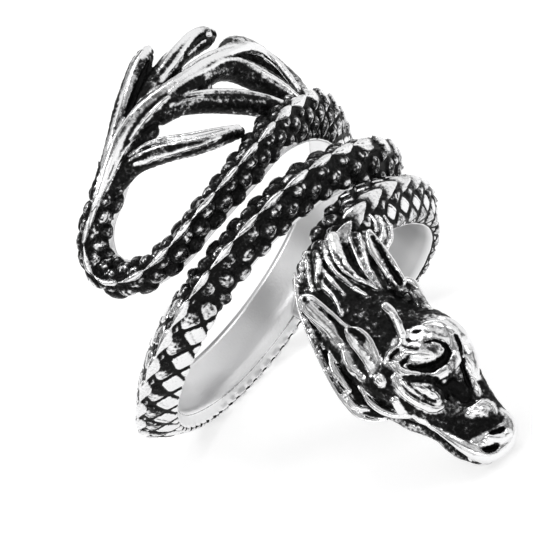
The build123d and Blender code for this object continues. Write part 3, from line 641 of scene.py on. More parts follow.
    ("lay", 0.04, 0.85, (16.8, 0.35, 0.05, 0.1, 0.14), (17.3, 0.15, 0.05, 0.15, 0.16),
     (17.8, -0.15, 0.03, 0.1, 0.12)),
    # bridge hollow, nose bump, lips and nostrils
    ("carve", 0.25, 0, (16.4, -0.95, 0.1, 0.5, 0.45), (17.2, -0.9, 0.1, 0.5, 0.4)),
    ("tint", 0, 0.36, (16.8, -2.2, 0, 0.25, 0.4), (17.4, -2.1, 0, 0.4), (17.7, -1.4, 0, 0.3, 0.4)),
    ("lay", 0.2, 0.52, (18.3, -1.4, -0.05, 0.45, 0.34), (18.8, -0.8, -0.05, 0.45, 0.34)),
    ("lay", 0.06, 0.9, (18.15, -1, 0.06, 0.1, 0.12), (18.3, -0.35, 0.06, 0.14, 0.15),
     (18.8, -0.1, 0.05, 0.12, 0.14), (19.4, -0.3, 0.03, 0.08, 0.1)),
    ("lay", 0.06, 0.85, (18.35, -1.55, 0.02, 0.16), (18.7, -1.15, 0.02, 0.2, 0.18)),
    ("add", 0.12, 1, (16.9, -3.75, 2.55, 0.1, 0.12), (17.5, -3.62, 2.6, 0.12, 0.14),
     (18.2, -3.5, 2.65, 0.22), (19, -3.38, 2.7, 0.32), (19.8, -3.2, 2.7, 0.4),
     (20.5, -2.9, 2.62, 0.48), (21, -2.4, 2.55, 0.5), (21.2, -1.7, 2.5, 0.5),
     (21.12, -0.9, 2.55, 0.48), (20.7, -0.2, 2.65, 0.4, 0.42), (20.1, 0.1, 2.75, 0.3, 0.34),
     (19.6, 0.05, 2.9, 0.16, 0.2)),
    ("tint", 0, 1, (19.9, -2.75, 0, 0.25, 0.5), (20.3, -2, 0, 0.4, 0.5), (20.6, -1.1, 0, 0.45, 0.5),
     (20.5, -0.3, 0, 0.3, 0.5)),
    ("tint", 0, 0, (18.7, -2.9, 0, 0.2, 0.4), (19.3, -2.2, 0, 0.28, 0.4), (19.6, -1.4, 0, 0.25, 0.4),
     (19.9, -0.7, 0, 0.12, 0.4)),
    ("lay", 0.15, 1, (20.3, -1.9, 0, 0.25), (20.8, -1.4, 0, 0.3, 0.28), (20.9, -0.8, 0, 0.25)),
    ("carve", 0.04, 0, (20.2, -1.55, 0, 0.1, 0.25), (20.4, -1.15, 0, 0.16, 0.35),
     (20.5, -0.75, 0, 0.08, 0.25)),
    ("carve", 0.04, 0, (20.6, -2.65, 0, 0.12, 0.3), (20.88, -2.35, 0, 0.18, 0.35),
     (21.02, -1.9, 0, 0.1, 0.25)),
    # mouth, a tooth and the lip's end
    ("cut", 0.06, 0, (15.4, -4.6, 2.1, 0.25, 0.2), (16.9, -4, 2, 0.35, 0.25),
     (18.5, -3.8, 1.9, 0.5, 0.3), (20, -3.4, 1.8, 0.55, 0.3), (20.8, -2.6, 1.7, 0.5, 0.3)),
    ("stain", 0, 0, (17.4, -3.75, 1.75, 0.12, 0.2), (18.6, -3.6, 1.6, 0.25, 0.32),
     (19.5, -3.45, 1.55, 0.25, 0.35), (20.1, -3.2, 1.6, 0.2, 0.3)),
    ("add", 0.03, 0.7, (19.9, -3.2, 1.9, 0.16, 0.2), (20.1, -3.25, 1.6, 0.14, 0.2)),
    ("lay", 0.04, 0.95, (15.8, -4.05, 0, 0.1, 0.14), (16.3, -3.9, 0, 0.17, 0.15),
     (16.8, -3.75, 0, 0.1)),
    ("stain", 0, 0.4, (14.6, -4.6, 1, 0.2, 0.35), (15.4, -4.3, 1, 0.2, 0.3),
     (16.5, -3.9, 1, 0.2, 0.25), (17.5, -3.7, 0.85, 0.15, 0.2), (18.7, -3.7, 0.75, 0.15, 0.2),
     (19.8, -3.4, 0.75, 0.15, 0.2)),
    # small horn on the crown
    ("add", 0.1, 0.95, (9.85, -0.45, 5, 0.3, 0.24), (10.3, -0.45, 5, 0.3, 0.24),
     (10.8, -0.55, 4.85, 0.27, 0.26), (11.3, -0.75, 4.6, 0.29, 0.3), (11.8, -0.95, 4.4, 0.33, 0.34)),
    ("stain", 0, 0.2, (10.1, -0.5, 5.25, 0.02, 0.15), (10.7, -0.45, 5.2, 0.04, 0.15),
     (11.3, -0.6, 5, 0.02, 0.15)),
    ("add", 0.1, 0.1, (10.3, -0.5, 4.5, 0.3, 0.5), (11.2, -0.6, 4.2, 0.4, 0.6)),
    # mane
    ("add", 0.15, 0.12, (5.4, 2.1, 1.6, 0.5), (6.4, 1.9, 1.9, 0.5), (7.4, 1.6, 2.2, 0.4, 0.45)),
    ("add", 0.2, 0.18, (4.2, 2.7, 1.8, 0.5), (5.4, 2, 2.1, 0.6, 0.45), (6.6, 1.4, 2.45, 0.45, 0.35),
     (7.9, 1, 2.75, 0.2)),
    ("add", 0.08, 0.76, (3.2, 1.6, 2.1, 0.5, 0.42), (4.3, 0.9, 2.45, 0.52, 0.42),
     (5.5, 0.48, 2.7, 0.36), (6.9, 0.45, 2.92, 0.2, 0.26), (8.1, 0.72, 3.08, 0.08, 0.12)),
    ("add", 0.04, 1, (4.4, 0.42, 2.7, 0.07, 0.14), (5.5, 0.15, 2.95, 0.07, 0.14),
     (6.9, 0.28, 3.1, 0.06, 0.12)),
    ("add", 0.05, 0.75, (4, 2.35, 2.25, 0.09, 0.2), (5.3, 1.65, 2.65, 0.1, 0.2),
     (6.5, 1.1, 2.9, 0.1, 0.18), (7.7, 0.85, 3, 0.06, 0.12)),
    ("add", 0.05, 0.75, (4.3, 3.05, 2.2, 0.08, 0.2), (5.7, 2.1, 2.6, 0.1, 0.2),
     (7, 1.35, 2.9, 0.08, 0.18), (8.2, 1, 3, 0.05, 0.1)),
    ("add", 0.05, 0.8, (4.8, 3.45, 2.3, 0.09, 0.2), (6.6, 2.3, 2.7, 0.1, 0.2),
     (8.5, 1.4, 3, 0.06, 0.14)),
    ("add", 0.06, 0.95, (2.9, 1.1, 1.8, 0.14, 0.2), (3.9, 0.3, 2.3, 0.2, 0.25),
     (5.1, -0.1, 2.6, 0.2, 0.22), (6.7, -0.2, 2.9, 0.08, 0.12)),
    ("add", 0.15, 0.1, (3.2, 0.1, 2.05, 0.25, 0.3), (4.1, -0.55, 2.3, 0.34, 0.32),
     (4.8, -1.25, 2.45, 0.32, 0.3), (5.2, -1.65, 2.5, 0.2)),
    ("lay", 0.03, 0.8, (3.4, 0.1, 0.02, 0.04, 0.1), (4, -0.4, 0.02, 0.06, 0.1),
     (4.5, -1, 0.02, 0.04, 0.1)),
    ("lay", 0.03, 0.7, (3.6, -0.35, 0.02, 0.04, 0.1), (4.2, -0.9, 0.02, 0.06, 0.1),
     (4.7, -1.5, 0.02, 0.04, 0.1)),
    ("lay", 0.05, 0.75, (2.9, -0.4, 0.05, 0.1, 0.14), (3.6, -1.05, 0.05, 0.12, 0.15),
     (4.3, -1.65, 0.05, 0.12, 0.15), (4.9, -1.9, 0.03, 0.08, 0.1)),
    ("lay", 0.05, 0.6, (2.6, -0.2, 0.08, 0.22, 0.2), (2.75, -0.45, 0.08, 0.2)),
    ("lay", 0.05, 0.6, (2.9, -0.85, 0.08, 0.22, 0.2), (3.1, -1.1, 0.08, 0.2)),
    ("lay", 0.05, 0.6, (3.4, -1.5, 0.08, 0.2), (3.7, -1.8, 0.06, 0.16)),
    ("add", 0.06, 0.8, (3.8, -0.2, 2, 0.1, 0.2), (4.7, -0.6, 2.4, 0.18, 0.22),
     (5.6, -0.8, 2.7, 0.18, 0.2), (6.7, -0.95, 2.9, 0.08, 0.1)),
    ("add", 0.06, 0.85, (4.4, -1, 2.2, 0.12, 0.2), (5.3, -1.35, 2.5, 0.18, 0.2),
     (6.4, -1.55, 2.8, 0.14, 0.16), (7.7, -2.2, 3.05, 0.06, 0.1)),
    ("add", 0.05, 1, (7.1, -0.35, 3.3, 0.2), (7.9, -0.15, 3.2, 0.12, 0.15)),
    ("stain", 0, 0.3, (7.6, 0.2, 3.15, 0.25, 0.3)),
    ("lay", 0.03, 0.9, (4.3, 2.1, 0.04, 0.04, 0.1), (5.1, 1.7, 0.05, 0.07, 0.12),
     (6.2, 1.15, 0.05, 0.07, 0.12), (7.3, 0.78, 0.03, 0.03, 0.1)),
    ("lay", 0.03, 0.7, (4.6, 2.75, 0.04, 0.04, 0.1), (5.2, 2.3, 0.05, 0.06, 0.12),
     (6, 1.7, 0.05, 0.06, 0.12), (6.8, 1.35, 0.03, 0.03, 0.1)),
    ("tint", 0, 0.2, (4.5, 0.75, 0, 0.02, 0.2), (5.7, 0.3, 0, 0.04, 0.2), (6.9, 0.38, 0, 0.03, 0.2)),
    ("tint", 0, 0.2, (3.9, 0.55, 0, 0.02, 0.2), (5, 0.12, 0, 0.04, 0.2), (6.2, -0.02, 0, 0.02, 0.2)),
    # long grooved leaf on the right
    ("add", 0.15, 0.42, (5.2, 2.9, 3.6, 0.25), (6.2, 2.55, 3.6, 0.45, 0.4), (7.5, 2.2, 3.5, 0.5),
     (9.2, 1.8, 3.1, 0.4, 0.5)),
    ("add", 0.05, 1, (5.1, 2.95, 3.85, 0.16, 0.18), (5.8, 2.35, 3.9, 0.17, 0.18),
     (7, 1.9, 3.85, 0.15, 0.18), (8.2, 1.6, 3.6, 0.1, 0.15)),
    ("add", 0.05, 1, (5.15, 3.05, 3.85, 0.16, 0.18), (6.4, 2.85, 3.85, 0.15, 0.18),
     (7.6, 2.6, 3.8, 0.15, 0.18), (9.2, 2.15, 3.5, 0.12, 0.15)),
    ("cut", 0.03, 0, (5.6, 2.85, 4.05, 0.1, 0.2), (6.5, 2.6, 4.05, 0.14, 0.25),
     (7.5, 2.25, 3.95, 0.16, 0.3), (8.9, 1.9, 3.7, 0.2, 0.3)),
    # hair on the right
    ("add", 0.2, 0.35, (4.6, 4.5, 2.2, 0.3), (5.3, 4.2, 2.25, 0.45, 0.35), (5.8, 3.6, 2.3, 0.5, 0.45),
     (6.3, 2.8, 2.3, 0.5)),
    ("add", 0.03, 1, (4.6, 5, 2.45, 0.08, 0.1), (5.5, 4.7, 2.5, 0.1, 0.12),
     (6.1, 4.2, 2.55, 0.11, 0.13), (6.5, 3.3, 2.6, 0.08, 0.1)),
    ("add", 0.03, 0.95, (4.4, 4.75, 2.5, 0.08, 0.1), (5.1, 4.4, 2.6, 0.1, 0.12),
     (5.6, 3.8, 2.65, 0.1, 0.12), (6, 3.1, 2.7, 0.08, 0.1)),
    ("add", 0.03, 0.8, (3.9, 4.4, 2.45, 0.1, 0.12), (4.6, 4.2, 2.65, 0.12, 0.14),
     (5.1, 3.7, 2.75, 0.1, 0.12)),
    # small ear on the right
    ("add", 0.12, 0.4, (9, 2.35, 3.1, 0.25), (9.9, 2.2, 3.1, 0.4, 0.35), (11, 1.8, 3.1, 0.35, 0.4)),
    ("add", 0.04, 1, (8.9, 2.4, 3.3, 0.15, 0.16), (9.4, 2.65, 3.3, 0.16, 0.17),
     (10.1, 2.5, 3.3, 0.15, 0.16), (10.8, 2.25, 3.3, 0.12, 0.15), (11.5, 2.1, 3.2, 0.1, 0.12)),
    ("cut", 0.03, 0, (9.4, 2.2, 3.5, 0.1, 0.12), (10, 2.25, 3.5, 0.1, 0.12)),
]


def round_min(a, b, k):
    """The lesser of two fields, with a rounded join k wide."""
    if k <= 0:
        return np.minimum(a, b)
    h = np.clip(0.5 + 0.5 * (b - a) / k, 0, 1)
    return b + (a - b) * h - k * h * (1 - h)


class Clay:
    """Distances to a surface (mm, below 0 inside) and a brightness over a grid."""

    def __init__(self, low, high, cell):
        self.low, self.cell = np.array(low, float), cell
        self.size = np.ceil((np.array(high) - self.low) / cell).astype(int) + 1
        self.field = np.full(self.size, 9.0, np.float32)
        self.paint = np.full(self.size, 0.12, np.float32)

    def block(self, low, high):
        """The part of the grid between two corners, and its places."""
        first = np.clip(((low - self.low) / self.cell).astype(int), 0, self.size - 1)
        last = np.clip(np.ceil((high - self.low) / self.cell).astype(int) + 1, 1, self.size)
        part = tuple(slice(a, b) for a, b in zip(first, last))
        axes = [self.low[i] + self.cell * np.arange(first[i], last[i]) for i in range(3)]
        return part, np.meshgrid(*axes, indexing="ij", sparse=True)

    def bar(self, rows, margin):
        """Distances to a tapered bar through rows of x, w, z, half width and thickness."""
        if len(rows) > 2:
            rows, _ = smooth(rows, rows[:, :3], 3 * len(rows) - 2)
        reach = rows[:, 3:].max() + margin
        part, (x, w, z) = self.block(rows[:, :3].min(0) - reach, rows[:, :3].max(0) + reach)
        best = None
        for a, b in list(zip(rows, rows[1:])) or [(rows[0], rows[0])]:
            d = b[:3] - a[:3]
            t = ((x - a[0]) * d[0] + (w - a[1]) * d[1] + (z - a[2]) * d[2]) / max(d @ d, 1e-9)
            t = np.clip(t, 0, 1)
            flat = (x - a[0] - t * d[0]) ** 2 + (w - a[1] - t * d[1]) ** 2
            rise = (z - a[2] - t * d[2]) ** 2
            half, thick = a[3] + t * (b[3] - a[3]), a[4] + t * (b[4] - a[4])
            value = (np.sqrt(flat / half**2 + rise / thick**2) - 1) * np.minimum(half, thick)
            best = value if best is None else np.minimum(best, value)
        return part, best

    def form(self, table, power, blend):
        """A plain form through rows of x, middle, half width, low and high."""
        rows, _ = smooth(table, np.array(table)[:, :1], 120)
        xs = self.low[0] + self.cell * np.arange(self.size[0])
        m, half, low, high = (
            np.interp(xs, rows[:, 0], rows[:, i])[:, None, None] for i in (1, 2, 3, 4)
        )
        _, (x, w, z) = self.block(self.low, self.low + self.cell * self.size)
        middle, tall = BORE + (low + high) / 2, (high - low) / 2
        q = (np.abs((w - m) / half) ** power + np.abs((z - middle) / tall) ** power) ** (1 / power)
        value = (q - 1) * np.minimum(half, tall)
        value = np.maximum(value, np.maximum(table[0][0] - x, x - table[-1][0]))
        self.field = round_min(self.field, value.astype(np.float32), blend)

    def tops(self, x, w):
        """Height of the surface seen from above at places."""
        i = np.clip(((x - self.low[0]) / self.cell).round().astype(int), 0, self.size[0] - 1)
        j = np.clip(((w - self.low[1]) / self.cell).round().astype(int), 0, self.size[1] - 1)
        inside = self.field[i, j] < 0
        k = inside.shape[1] - 1 - np.argmax(inside[:, ::-1], axis=1)
        return self.low[2] + self.cell * k

    def stroke(self, way, blend, bright, rows):
        """One stroke of the tables, worked into the field and painted."""
        rows = np.array([(*row, row[-1])[:5] for row in rows], float)
        if way in ("lay", "carve", "tint"):
            if len(rows) > 2:
                rows, _ = smooth(rows, rows[:, :2], 2 * len(rows) - 1)
            rows[:, 2] += self.tops(rows[:, 0], rows[:, 1])
        else:
            rows[:, 2] += BORE
        part, value = self.bar(rows, 0.3 + blend)
        if way in ("add", "lay"):
            self.field[part] = round_min(self.field[part], value, blend)
        elif way in ("cut", "carve"):
            self.field[part] = -round_min(-self.field[part], value, blend)
        share = 1 - smoothstep(0.0, 0.11 if way == "tint" else 0.16, value)
        self.paint[part] += (bright - self.paint[part]) * share

    def blurred(self, reach):
        """The field averaged three times over boxes of half width reach."""
        f = np.clip(self.field, -0.6, 0.6)
        r = max(int(round(reach / self.cell)), 1)
        for axis in (0, 1, 2) * 3:
            g = np.moveaxis(f, axis, 0)
            g = np.concatenate([g[:1].repeat(r + 1, 0), g, g[-1:].repeat(r, 0)])
            c = np.cumsum(g, axis=0, dtype=np.float64)
            f = np.moveaxis((c[2 * r + 1 :] - c[: -2 * r - 1]) / (2 * r + 1), 0, axis)
        return f.astype(np.float32)

    def sample(self, field, points):
        """A field's values at points."""
        q = (points - self.low) / self.cell
        i = np.clip(np.floor(q).astype(int), 0, self.size - 2)
        t = q - i
        total = 0
        for corner in np.ndindex(2, 2, 2):
            weight = np.prod(np.where(corner, t, 1 - t), axis=1)
            total = total + weight * field[tuple((i + np.array(corner)).T)]
        return total

    def mesh(self):
        """The surface: a point in each cell that it crosses, and a quad round each edge."""
        f, inside = self.field, self.field < 0
        n = self.size - 1
        count = np.zeros(n, np.int8)
        for a, b, c in np.ndindex(2, 2, 2):
            count += inside[a : a + n[0], b : b + n[1], c : c + n[2]]
        cells = np.argwhere((count > 0) & (count < 8))
        index = np.full(n, -1, np.int32)
        index[tuple(cells.T)] = np.arange(len(cells))
        total, hits = np.zeros((len(cells), 3)), np.zeros((len(cells), 1))
        for a in np.ndindex(2, 2, 2):
            for axis in range(3):
                if a[axis]:
                    continue
                a = np.array(a)
                b = a + np.eye(3, dtype=int)[axis]
                fa, fb = f[tuple((cells + a).T)], f[tuple((cells + b).T)]
                crossed = ((fa < 0) != (fb < 0))[:, None]
                t = (fa / np.where(fa == fb, 1, fa - fb))[:, None]
                total += np.where(crossed, a + t * (b - a), 0)
                hits += crossed
        points = self.low + self.cell * (cells + total / hits)
        faces = []
        for axis in range(3):
            u, v = [k for k in range(3) if k != axis]
            low = np.take(inside, range(self.size[axis] - 1), axis)
            high = np.take(inside, range(1, self.size[axis]), axis)
            for change, flip in ((low & ~high, axis == 1), (~low & high, axis != 1)):
                e = np.argwhere(change)
                e = e[(e[:, u] > 0) & (e[:, v] > 0) & (e[:, u] < n[u]) & (e[:, v] < n[v])]
                du, dv = np.eye(3, dtype=int)[u], np.eye(3, dtype=int)[v]
                quad = [index[tuple((e - k).T)] for k in (du + dv, dv, 0 * du, du)]
                faces.append(np.stack(quad[::-1] if flip else quad, axis=1))
        return points, np.concatenate(faces)


def head(material):
    """The head, carved and then rolled away from the front."""
    clay = Clay(CLAY_LOW, CLAY_HIGH, CELL)
    clay.form(SKULL, 2.4, 0.0)
    clay.form(JAW, 2.4, 0.15)
    for way, blend, bright, *rows in HEAD_STROKES:
        clay.stroke(way, blend, bright, rows)
    # nothing reaches into the finger hole
    _, (x, w, z) = clay.block(clay.low, clay.low + clay.cell * clay.size)
    clay.field = np.maximum(clay.field, (BORE + 0.02 - np.hypot(w, z)) + 0 * x).astype(np.float32)
    points, quads, bright = roughened(clay, 0.045, 0.035, 51)
    return mesh_piece("head", from_head(points), quads, bright, material)


# The tail fan. Its strokes are worked as the head's are, with turn angles (degrees) in place
# of x, and w along the finger.
TAIL_CELL = 0.085
TAIL_LOW, TAIL_HIGH = (-6.0, -16.8, BORE + 0.02), (18.6, -5.2, 12.95)
TAIL_STROKES = [
    # bodies of the five tines, from the outer to the inner
    ("add", 0.2, 0.05, (-14, -10.8, 1.2, 0.5, 0.8), (-4, -11.4, 1.25, 0.65, 0.85),
     (4, -12.2, 1.3, 0.72, 0.85), (13, -13.2, 1.3, 0.8, 0.85), (22, -14.15, 1.3, 0.8),
     (29, -14.9, 1.3, 0.74, 0.75), (33, -15.25, 1.3, 0.6), (35.3, -15.45, 1.35, 0.4, 0.45)),
    ("add", 0.2, 0.05, (3, -11.9, 1.25, 0.4, 0.7), (14, -12.5, 1.3, 0.7, 0.8),
     (24, -13.05, 1.3, 0.8, 0.85), (34, -13.6, 1.3, 0.74, 0.85), (45, -14.05, 1.3, 0.7, 0.82),
     (54, -14.3, 1.3, 0.8, 0.78), (60, -14.4, 1.35, 0.74, 0.68), (64.5, -14.5, 1.35, 0.48, 0.5)),
    ("add", 0.2, 0.05, (-14, -10.7, 1.3, 0.5, 0.8), (-4, -11.3, 1.4, 0.7, 0.85),
     (6, -11.9, 1.4, 0.8, 0.9), (14, -12.1, 1.4, 0.85, 0.95), (22, -11.95, 1.4, 0.9, 0.95),
     (30, -11.8, 1.4, 0.9, 0.95), (42, -11.75, 1.4, 0.85, 0.95), (51, -11.65, 1.4, 0.8, 0.95),
     (57.5, -11, 1.4, 0.7, 0.95), (61.5, -10, 1.4, 0.7, 0.95), (64.5, -9.1, 1.4, 0.7, 0.9),
     (66.5, -8.2, 1.4, 0.65, 0.85), (68, -7.2, 1.3, 0.6, 0.8), (71, -6.2, 1.2, 0.5, 0.7)),
    ("add", 0.2, 0.05, (20, -11.2, 1.15, 0.4, 0.6), (28, -10.95, 1.2, 0.6, 0.75),
     (34, -10.3, 1.2, 0.65, 0.8), (42, -9.2, 1.2, 0.65, 0.82), (50, -8.1, 1.2, 0.65, 0.82),
     (55, -7.3, 1.2, 0.6, 0.78), (60, -6.4, 1.15, 0.5, 0.7)),
    ("add", 0.2, 0.05, (-14, -10.2, 1.15, 0.5, 0.7), (-5, -10.3, 1.15, 0.6, 0.75),
     (2, -10.2, 1.2, 0.65, 0.8), (8, -9.65, 1.2, 0.62, 0.8), (14, -8.95, 1.2, 0.6, 0.8),
     (20, -8.2, 1.2, 0.58, 0.78), (28, -7.5, 1.2, 0.5, 0.72), (33.5, -7.1, 1.2, 0.38, 0.6),
     (36, -6.9, 1.2, 0.3, 0.45)),
    # webs between them, and the root
    ("add", 0.3, 0.05, (-26, -9.9, 0.9, 0.6, 0.7), (-14, -10.4, 0.9, 0.8), (-4, -10.9, 0.9, 1, 0.8),
     (6, -11.2, 0.8, 1, 0.6), (15, -11.1, 0.8, 0.5)),
    ("add", 0.2, 0.05, (4, -12.2, 0.75, 0.8, 0.5), (16, -13.2, 0.75, 0.8, 0.5),
     (26, -14, 0.75, 0.5, 0.45)),
    ("add", 0.2, 0.3, (14, -12.6, 0.9, 0.7, 0.5), (28, -12.8, 0.9, 0.7, 0.5), (38, -12.9, 0.9, 0.5)),
    ("add", 0.2, 0.4, (22, -11.5, 1, 0.7, 0.6), (32, -11.3, 1, 0.7, 0.6), (41, -11, 1, 0.5)),
    # the far lobe behind the crest, with its hollow
    ("add", 0.2, 0.35, (59, -12.5, 1.35, 0.5, 0.75), (67, -12.9, 1.4, 0.75, 0.85),
     (77, -12.5, 1.4, 0.9), (84, -11.4, 1.4, 0.9), (85, -9.8, 1.4, 0.85, 0.88),
     (80, -8.2, 1.4, 0.75, 0.82), (75, -7, 1.3, 0.6, 0.7)),
    ("add", 0.2, 0, (66, -11.6, 0.9, 1.1, 0.6), (72, -10.3, 0.9, 1.2, 0.6), (73, -8.6, 0.9, 1, 0.6),
     (72, -7.2, 0.9, 0.8, 0.6)),
    ("add", 0.08, 0.85, (58, -12.5, 1.9, 0.3), (62, -12.3, 2, 0.4, 0.35),
     (72, -12.15, 2.05, 0.42, 0.35), (79, -11.6, 2.05, 0.38, 0.33), (80, -10.6, 2.05, 0.32, 0.3),
     (77, -9.2, 2, 0.26, 0.28), (73, -7.7, 1.9, 0.2, 0.25)),
    ("stain", 0, 0.1, (59, -12.95, 1.8, 0.15, 0.25), (64, -13.1, 1.9, 0.2, 0.3)),
    ("stain", 0, 0.45, (66, -12.9, 2, 0.12, 0.3), (74, -12.5, 2.1, 0.12, 0.3)),
    # first tine: a broad bright ridge with a stippled streak down its middle
    ("add", 0.08, 1, (-22, -10, 1.7, 0.18, 0.24), (-9, -10.95, 1.8, 0.3, 0.32),
     (2, -12.1, 1.85, 0.34), (13, -13.3, 1.85, 0.33, 0.32), (21, -14.3, 1.8, 0.32),
     (28, -15.05, 1.75, 0.32), (33, -15.4, 1.7, 0.3), (35.6, -15.45, 1.6, 0.22, 0.25)),
    ("stain", 0, 0.3, (-2, -11.55, 2.1, 0.03, 0.2), (6, -12.5, 2.15, 0.03, 0.2),
     (13, -13.2, 2.15, 0.04, 0.2)),
    ("stain", 0, 0.25, (24, -14.5, 2.1, 0.05, 0.2), (29, -14.95, 2.05, 0.05, 0.2)),
    ("carve", 0.05, 0, (4, -11.85, 0, 0.12, 0.2), (14, -12.85, 0, 0.2, 0.25),
     (24, -13.9, 0, 0.22, 0.25), (31, -14.6, 0, 0.14, 0.2)),
    # second tine: two bright bands, a black hollow and a notch with a bright spot at its tip
    ("add", 0.08, 1, (17, -12.45, 1.6, 0.12, 0.2), (25, -12.95, 1.75, 0.18, 0.28),
     (34, -13.75, 1.8, 0.24, 0.3), (45, -14.4, 1.8, 0.26, 0.3), (54, -14.75, 1.75, 0.28, 0.3),
     (61, -14.75, 1.7, 0.26, 0.28), (65.5, -14.5, 1.6, 0.2, 0.22)),
    ("add", 0.05, 1, (28, -12.95, 1.9, 0.1, 0.16), (37, -13.35, 1.95, 0.13, 0.2),
     (45, -13.9, 1.95, 0.14, 0.2), (53, -14.35, 1.9, 0.14, 0.2), (58, -14.55, 1.8, 0.1, 0.16)),
    ("stain", 0, 0.2, (26, -13.1, 2, 0.03, 0.2), (33, -13.5, 2, 0.05, 0.2), (40, -13.9, 2, 0.02, 0.2)),
    ("carve", 0.05, 0, (42, -13.4, 0, 0.12, 0.2), (48, -13.75, 0, 0.17, 0.25),
     (55, -14.1, 0, 0.22, 0.28), (60, -14.15, 0, 0.2, 0.28), (64, -14.2, 0, 0.12, 0.2)),
    ("add", 0.03, 1, (59.5, -14.25, 1.75, 0.1, 0.16), (61.5, -14.2, 1.7, 0.1, 0.14)),
    ("lay", 0.03, 0.75, (45, -13.5, 0, 0.04, 0.08), (50, -13.75, 0, 0.04, 0.08),
     (55, -13.85, 0, 0.03, 0.06)),
    # third tine: the crest, its turn, and the thin lines under it
    ("add", 0.08, 1, (-24, -9.8, 1.8, 0.18, 0.24), (-8, -10.85, 2, 0.32, 0.33),
     (-2, -11.4, 2.05, 0.36, 0.34), (6, -12, 2.05, 0.38, 0.34), (14, -12.35, 2.05, 0.38, 0.34),
     (21, -12.35, 2.05, 0.38, 0.34), (29, -12.2, 2.05, 0.4, 0.34), (37, -12.1, 2.05, 0.42, 0.34),
     (45, -12.1, 2.05, 0.4, 0.34), (53, -12.05, 2.05, 0.36, 0.32), (60, -12.1, 2.05, 0.36, 0.3),
     (68, -12.1, 2.05, 0.36, 0.3)),
    ("add", 0.05, 0.72, (45, -11.9, 1.95, 0.1, 0.2), (51, -11.65, 2, 0.12, 0.22),
     (56, -11.15, 2.1, 0.14, 0.24), (59, -10.4, 2.15, 0.15, 0.24), (61.5, -9.4, 2.15, 0.16, 0.24),
     (64, -8.4, 2.1, 0.15, 0.24), (66, -7.4, 2, 0.13, 0.22), (67, -6.4, 1.9, 0.1, 0.2)),
    ("carve", 0.05, 0, (55, -11.6, 0, 0.08, 0.16), (60, -11.1, 0, 0.14, 0.2),
     (63, -10.2, 0, 0.16, 0.22), (66, -9.2, 0, 0.14, 0.2), (68, -8.2, 0, 0.12, 0.2)),
    ("add", 0.06, 0.8, (38, -12.75, 1.6, 0.14, 0.22), (46, -12.7, 1.8, 0.18, 0.25),
     (54, -12.6, 1.9, 0.2, 0.25), (60, -12.5, 1.9, 0.2, 0.25)),
    ("stain", 0, 0.4, (44, -12.42, 2.2, 0.02, 0.2), (53, -12.38, 2.2, 0.02, 0.2)),
    ("stain", 0, 0.42, (2, -11.75, 2.4, 0.02, 0.15), (12, -12.25, 2.4, 0.02, 0.15),
     (24, -12.3, 2.4, 0.02, 0.15)),
    ("lay", 0.03, 0.85, (26, -11.75, 0, 0.06, 0.1), (34, -11.75, 0, 0.08, 0.12),
     (43, -11.5, 0, 0.06, 0.1), (51, -11.5, 0, 0.08, 0.12), (57, -11.1, 0, 0.05, 0.1)),
    ("stain", 0, 0.36, (40, -11.3, 1.9, 0.1, 0.3), (46, -11.2, 1.9, 0.1, 0.3),
     (52, -10.8, 1.9, 0.08, 0.3)),
    ("lay", 0.03, 0.9, (7, -11.35, 0, 0.05, 0.1), (13, -11.55, 0, 0.09, 0.14),
     (19, -11.6, 0, 0.1, 0.14), (25, -11.6, 0, 0.08, 0.12)),
    ("lay", 0.03, 0.9, (-16, -10.15, 0, 0.05, 0.1), (-5, -10.65, 0, 0.06, 0.12),
     (3, -11.1, 0, 0.06, 0.12), (8, -11.2, 0, 0.04, 0.08)),
    # fourth tine
    ("add", 0.06, 0.95, (25, -11.6, 1.55, 0.1, 0.2), (30, -11.2, 1.7, 0.2, 0.26),
     (36, -10.5, 1.75, 0.25, 0.28), (40, -10, 1.75, 0.28, 0.3), (45, -9.3, 1.75, 0.28, 0.3),
     (50, -8.5, 1.75, 0.28, 0.3), (55, -7.6, 1.7, 0.26, 0.3), (59, -6.8, 1.65, 0.22, 0.28),
     (62, -6.2, 1.55, 0.16, 0.22)),
    ("stain", 0, 0.5, (38, -10.1, 2.1, 0.02, 0.2), (46, -9, 2.1, 0.04, 0.2),
     (54, -7.7, 2.1, 0.02, 0.2)),
    ("tint", 0, 0.4, (27, -10.7, 0, 0.02, 0.1), (33, -10.05, 0, 0.03, 0.1), (38, -9.35, 0, 0.03, 0.1),
     (45, -8.35, 0, 0.03, 0.1), (51, -7.5, 0, 0.02, 0.1)),
    ("lay", 0.03, 0.7, (24, -11.15, 0, 0.03, 0.07), (29, -10.75, 0, 0.04, 0.08),
     (34, -10.2, 0, 0.04, 0.07)),
    ("stain", 0, 0.3, (30, -9.8, 0.9, 0.1, 0.15), (40, -8.5, 0.9, 0.1, 0.15),
     (49, -7.4, 0.9, 0.1, 0.15)),
    # fifth tine, with parallel lines
    ("add", 0.06, 0.95, (3, -10.75, 1.5, 0.1, 0.2), (10, -10.35, 1.7, 0.16, 0.26),
     (14, -9.8, 1.75, 0.2, 0.28), (20, -8.85, 1.75, 0.23, 0.28), (26, -8.1, 1.75, 0.22, 0.28),
     (31, -7.55, 1.7, 0.2, 0.26), (35.5, -7.15, 1.6, 0.16, 0.22)),
    ("stain", 0, 0.4, (8, -10.4, 2, 0.1, 0.2), (13, -9.9, 2.05, 0.06, 0.2),
     (20, -8.85, 2.05, 0.01, 0.2)),
    ("lay", 0.03, 0.9, (2, -10.45, 0, 0.05, 0.1), (9, -9.95, 0, 0.07, 0.12),
     (14, -9.3, 0, 0.08, 0.12), (19, -8.5, 0, 0.07, 0.12), (24, -7.85, 0, 0.06, 0.1),
     (31, -7.25, 0, 0.04, 0.08)),
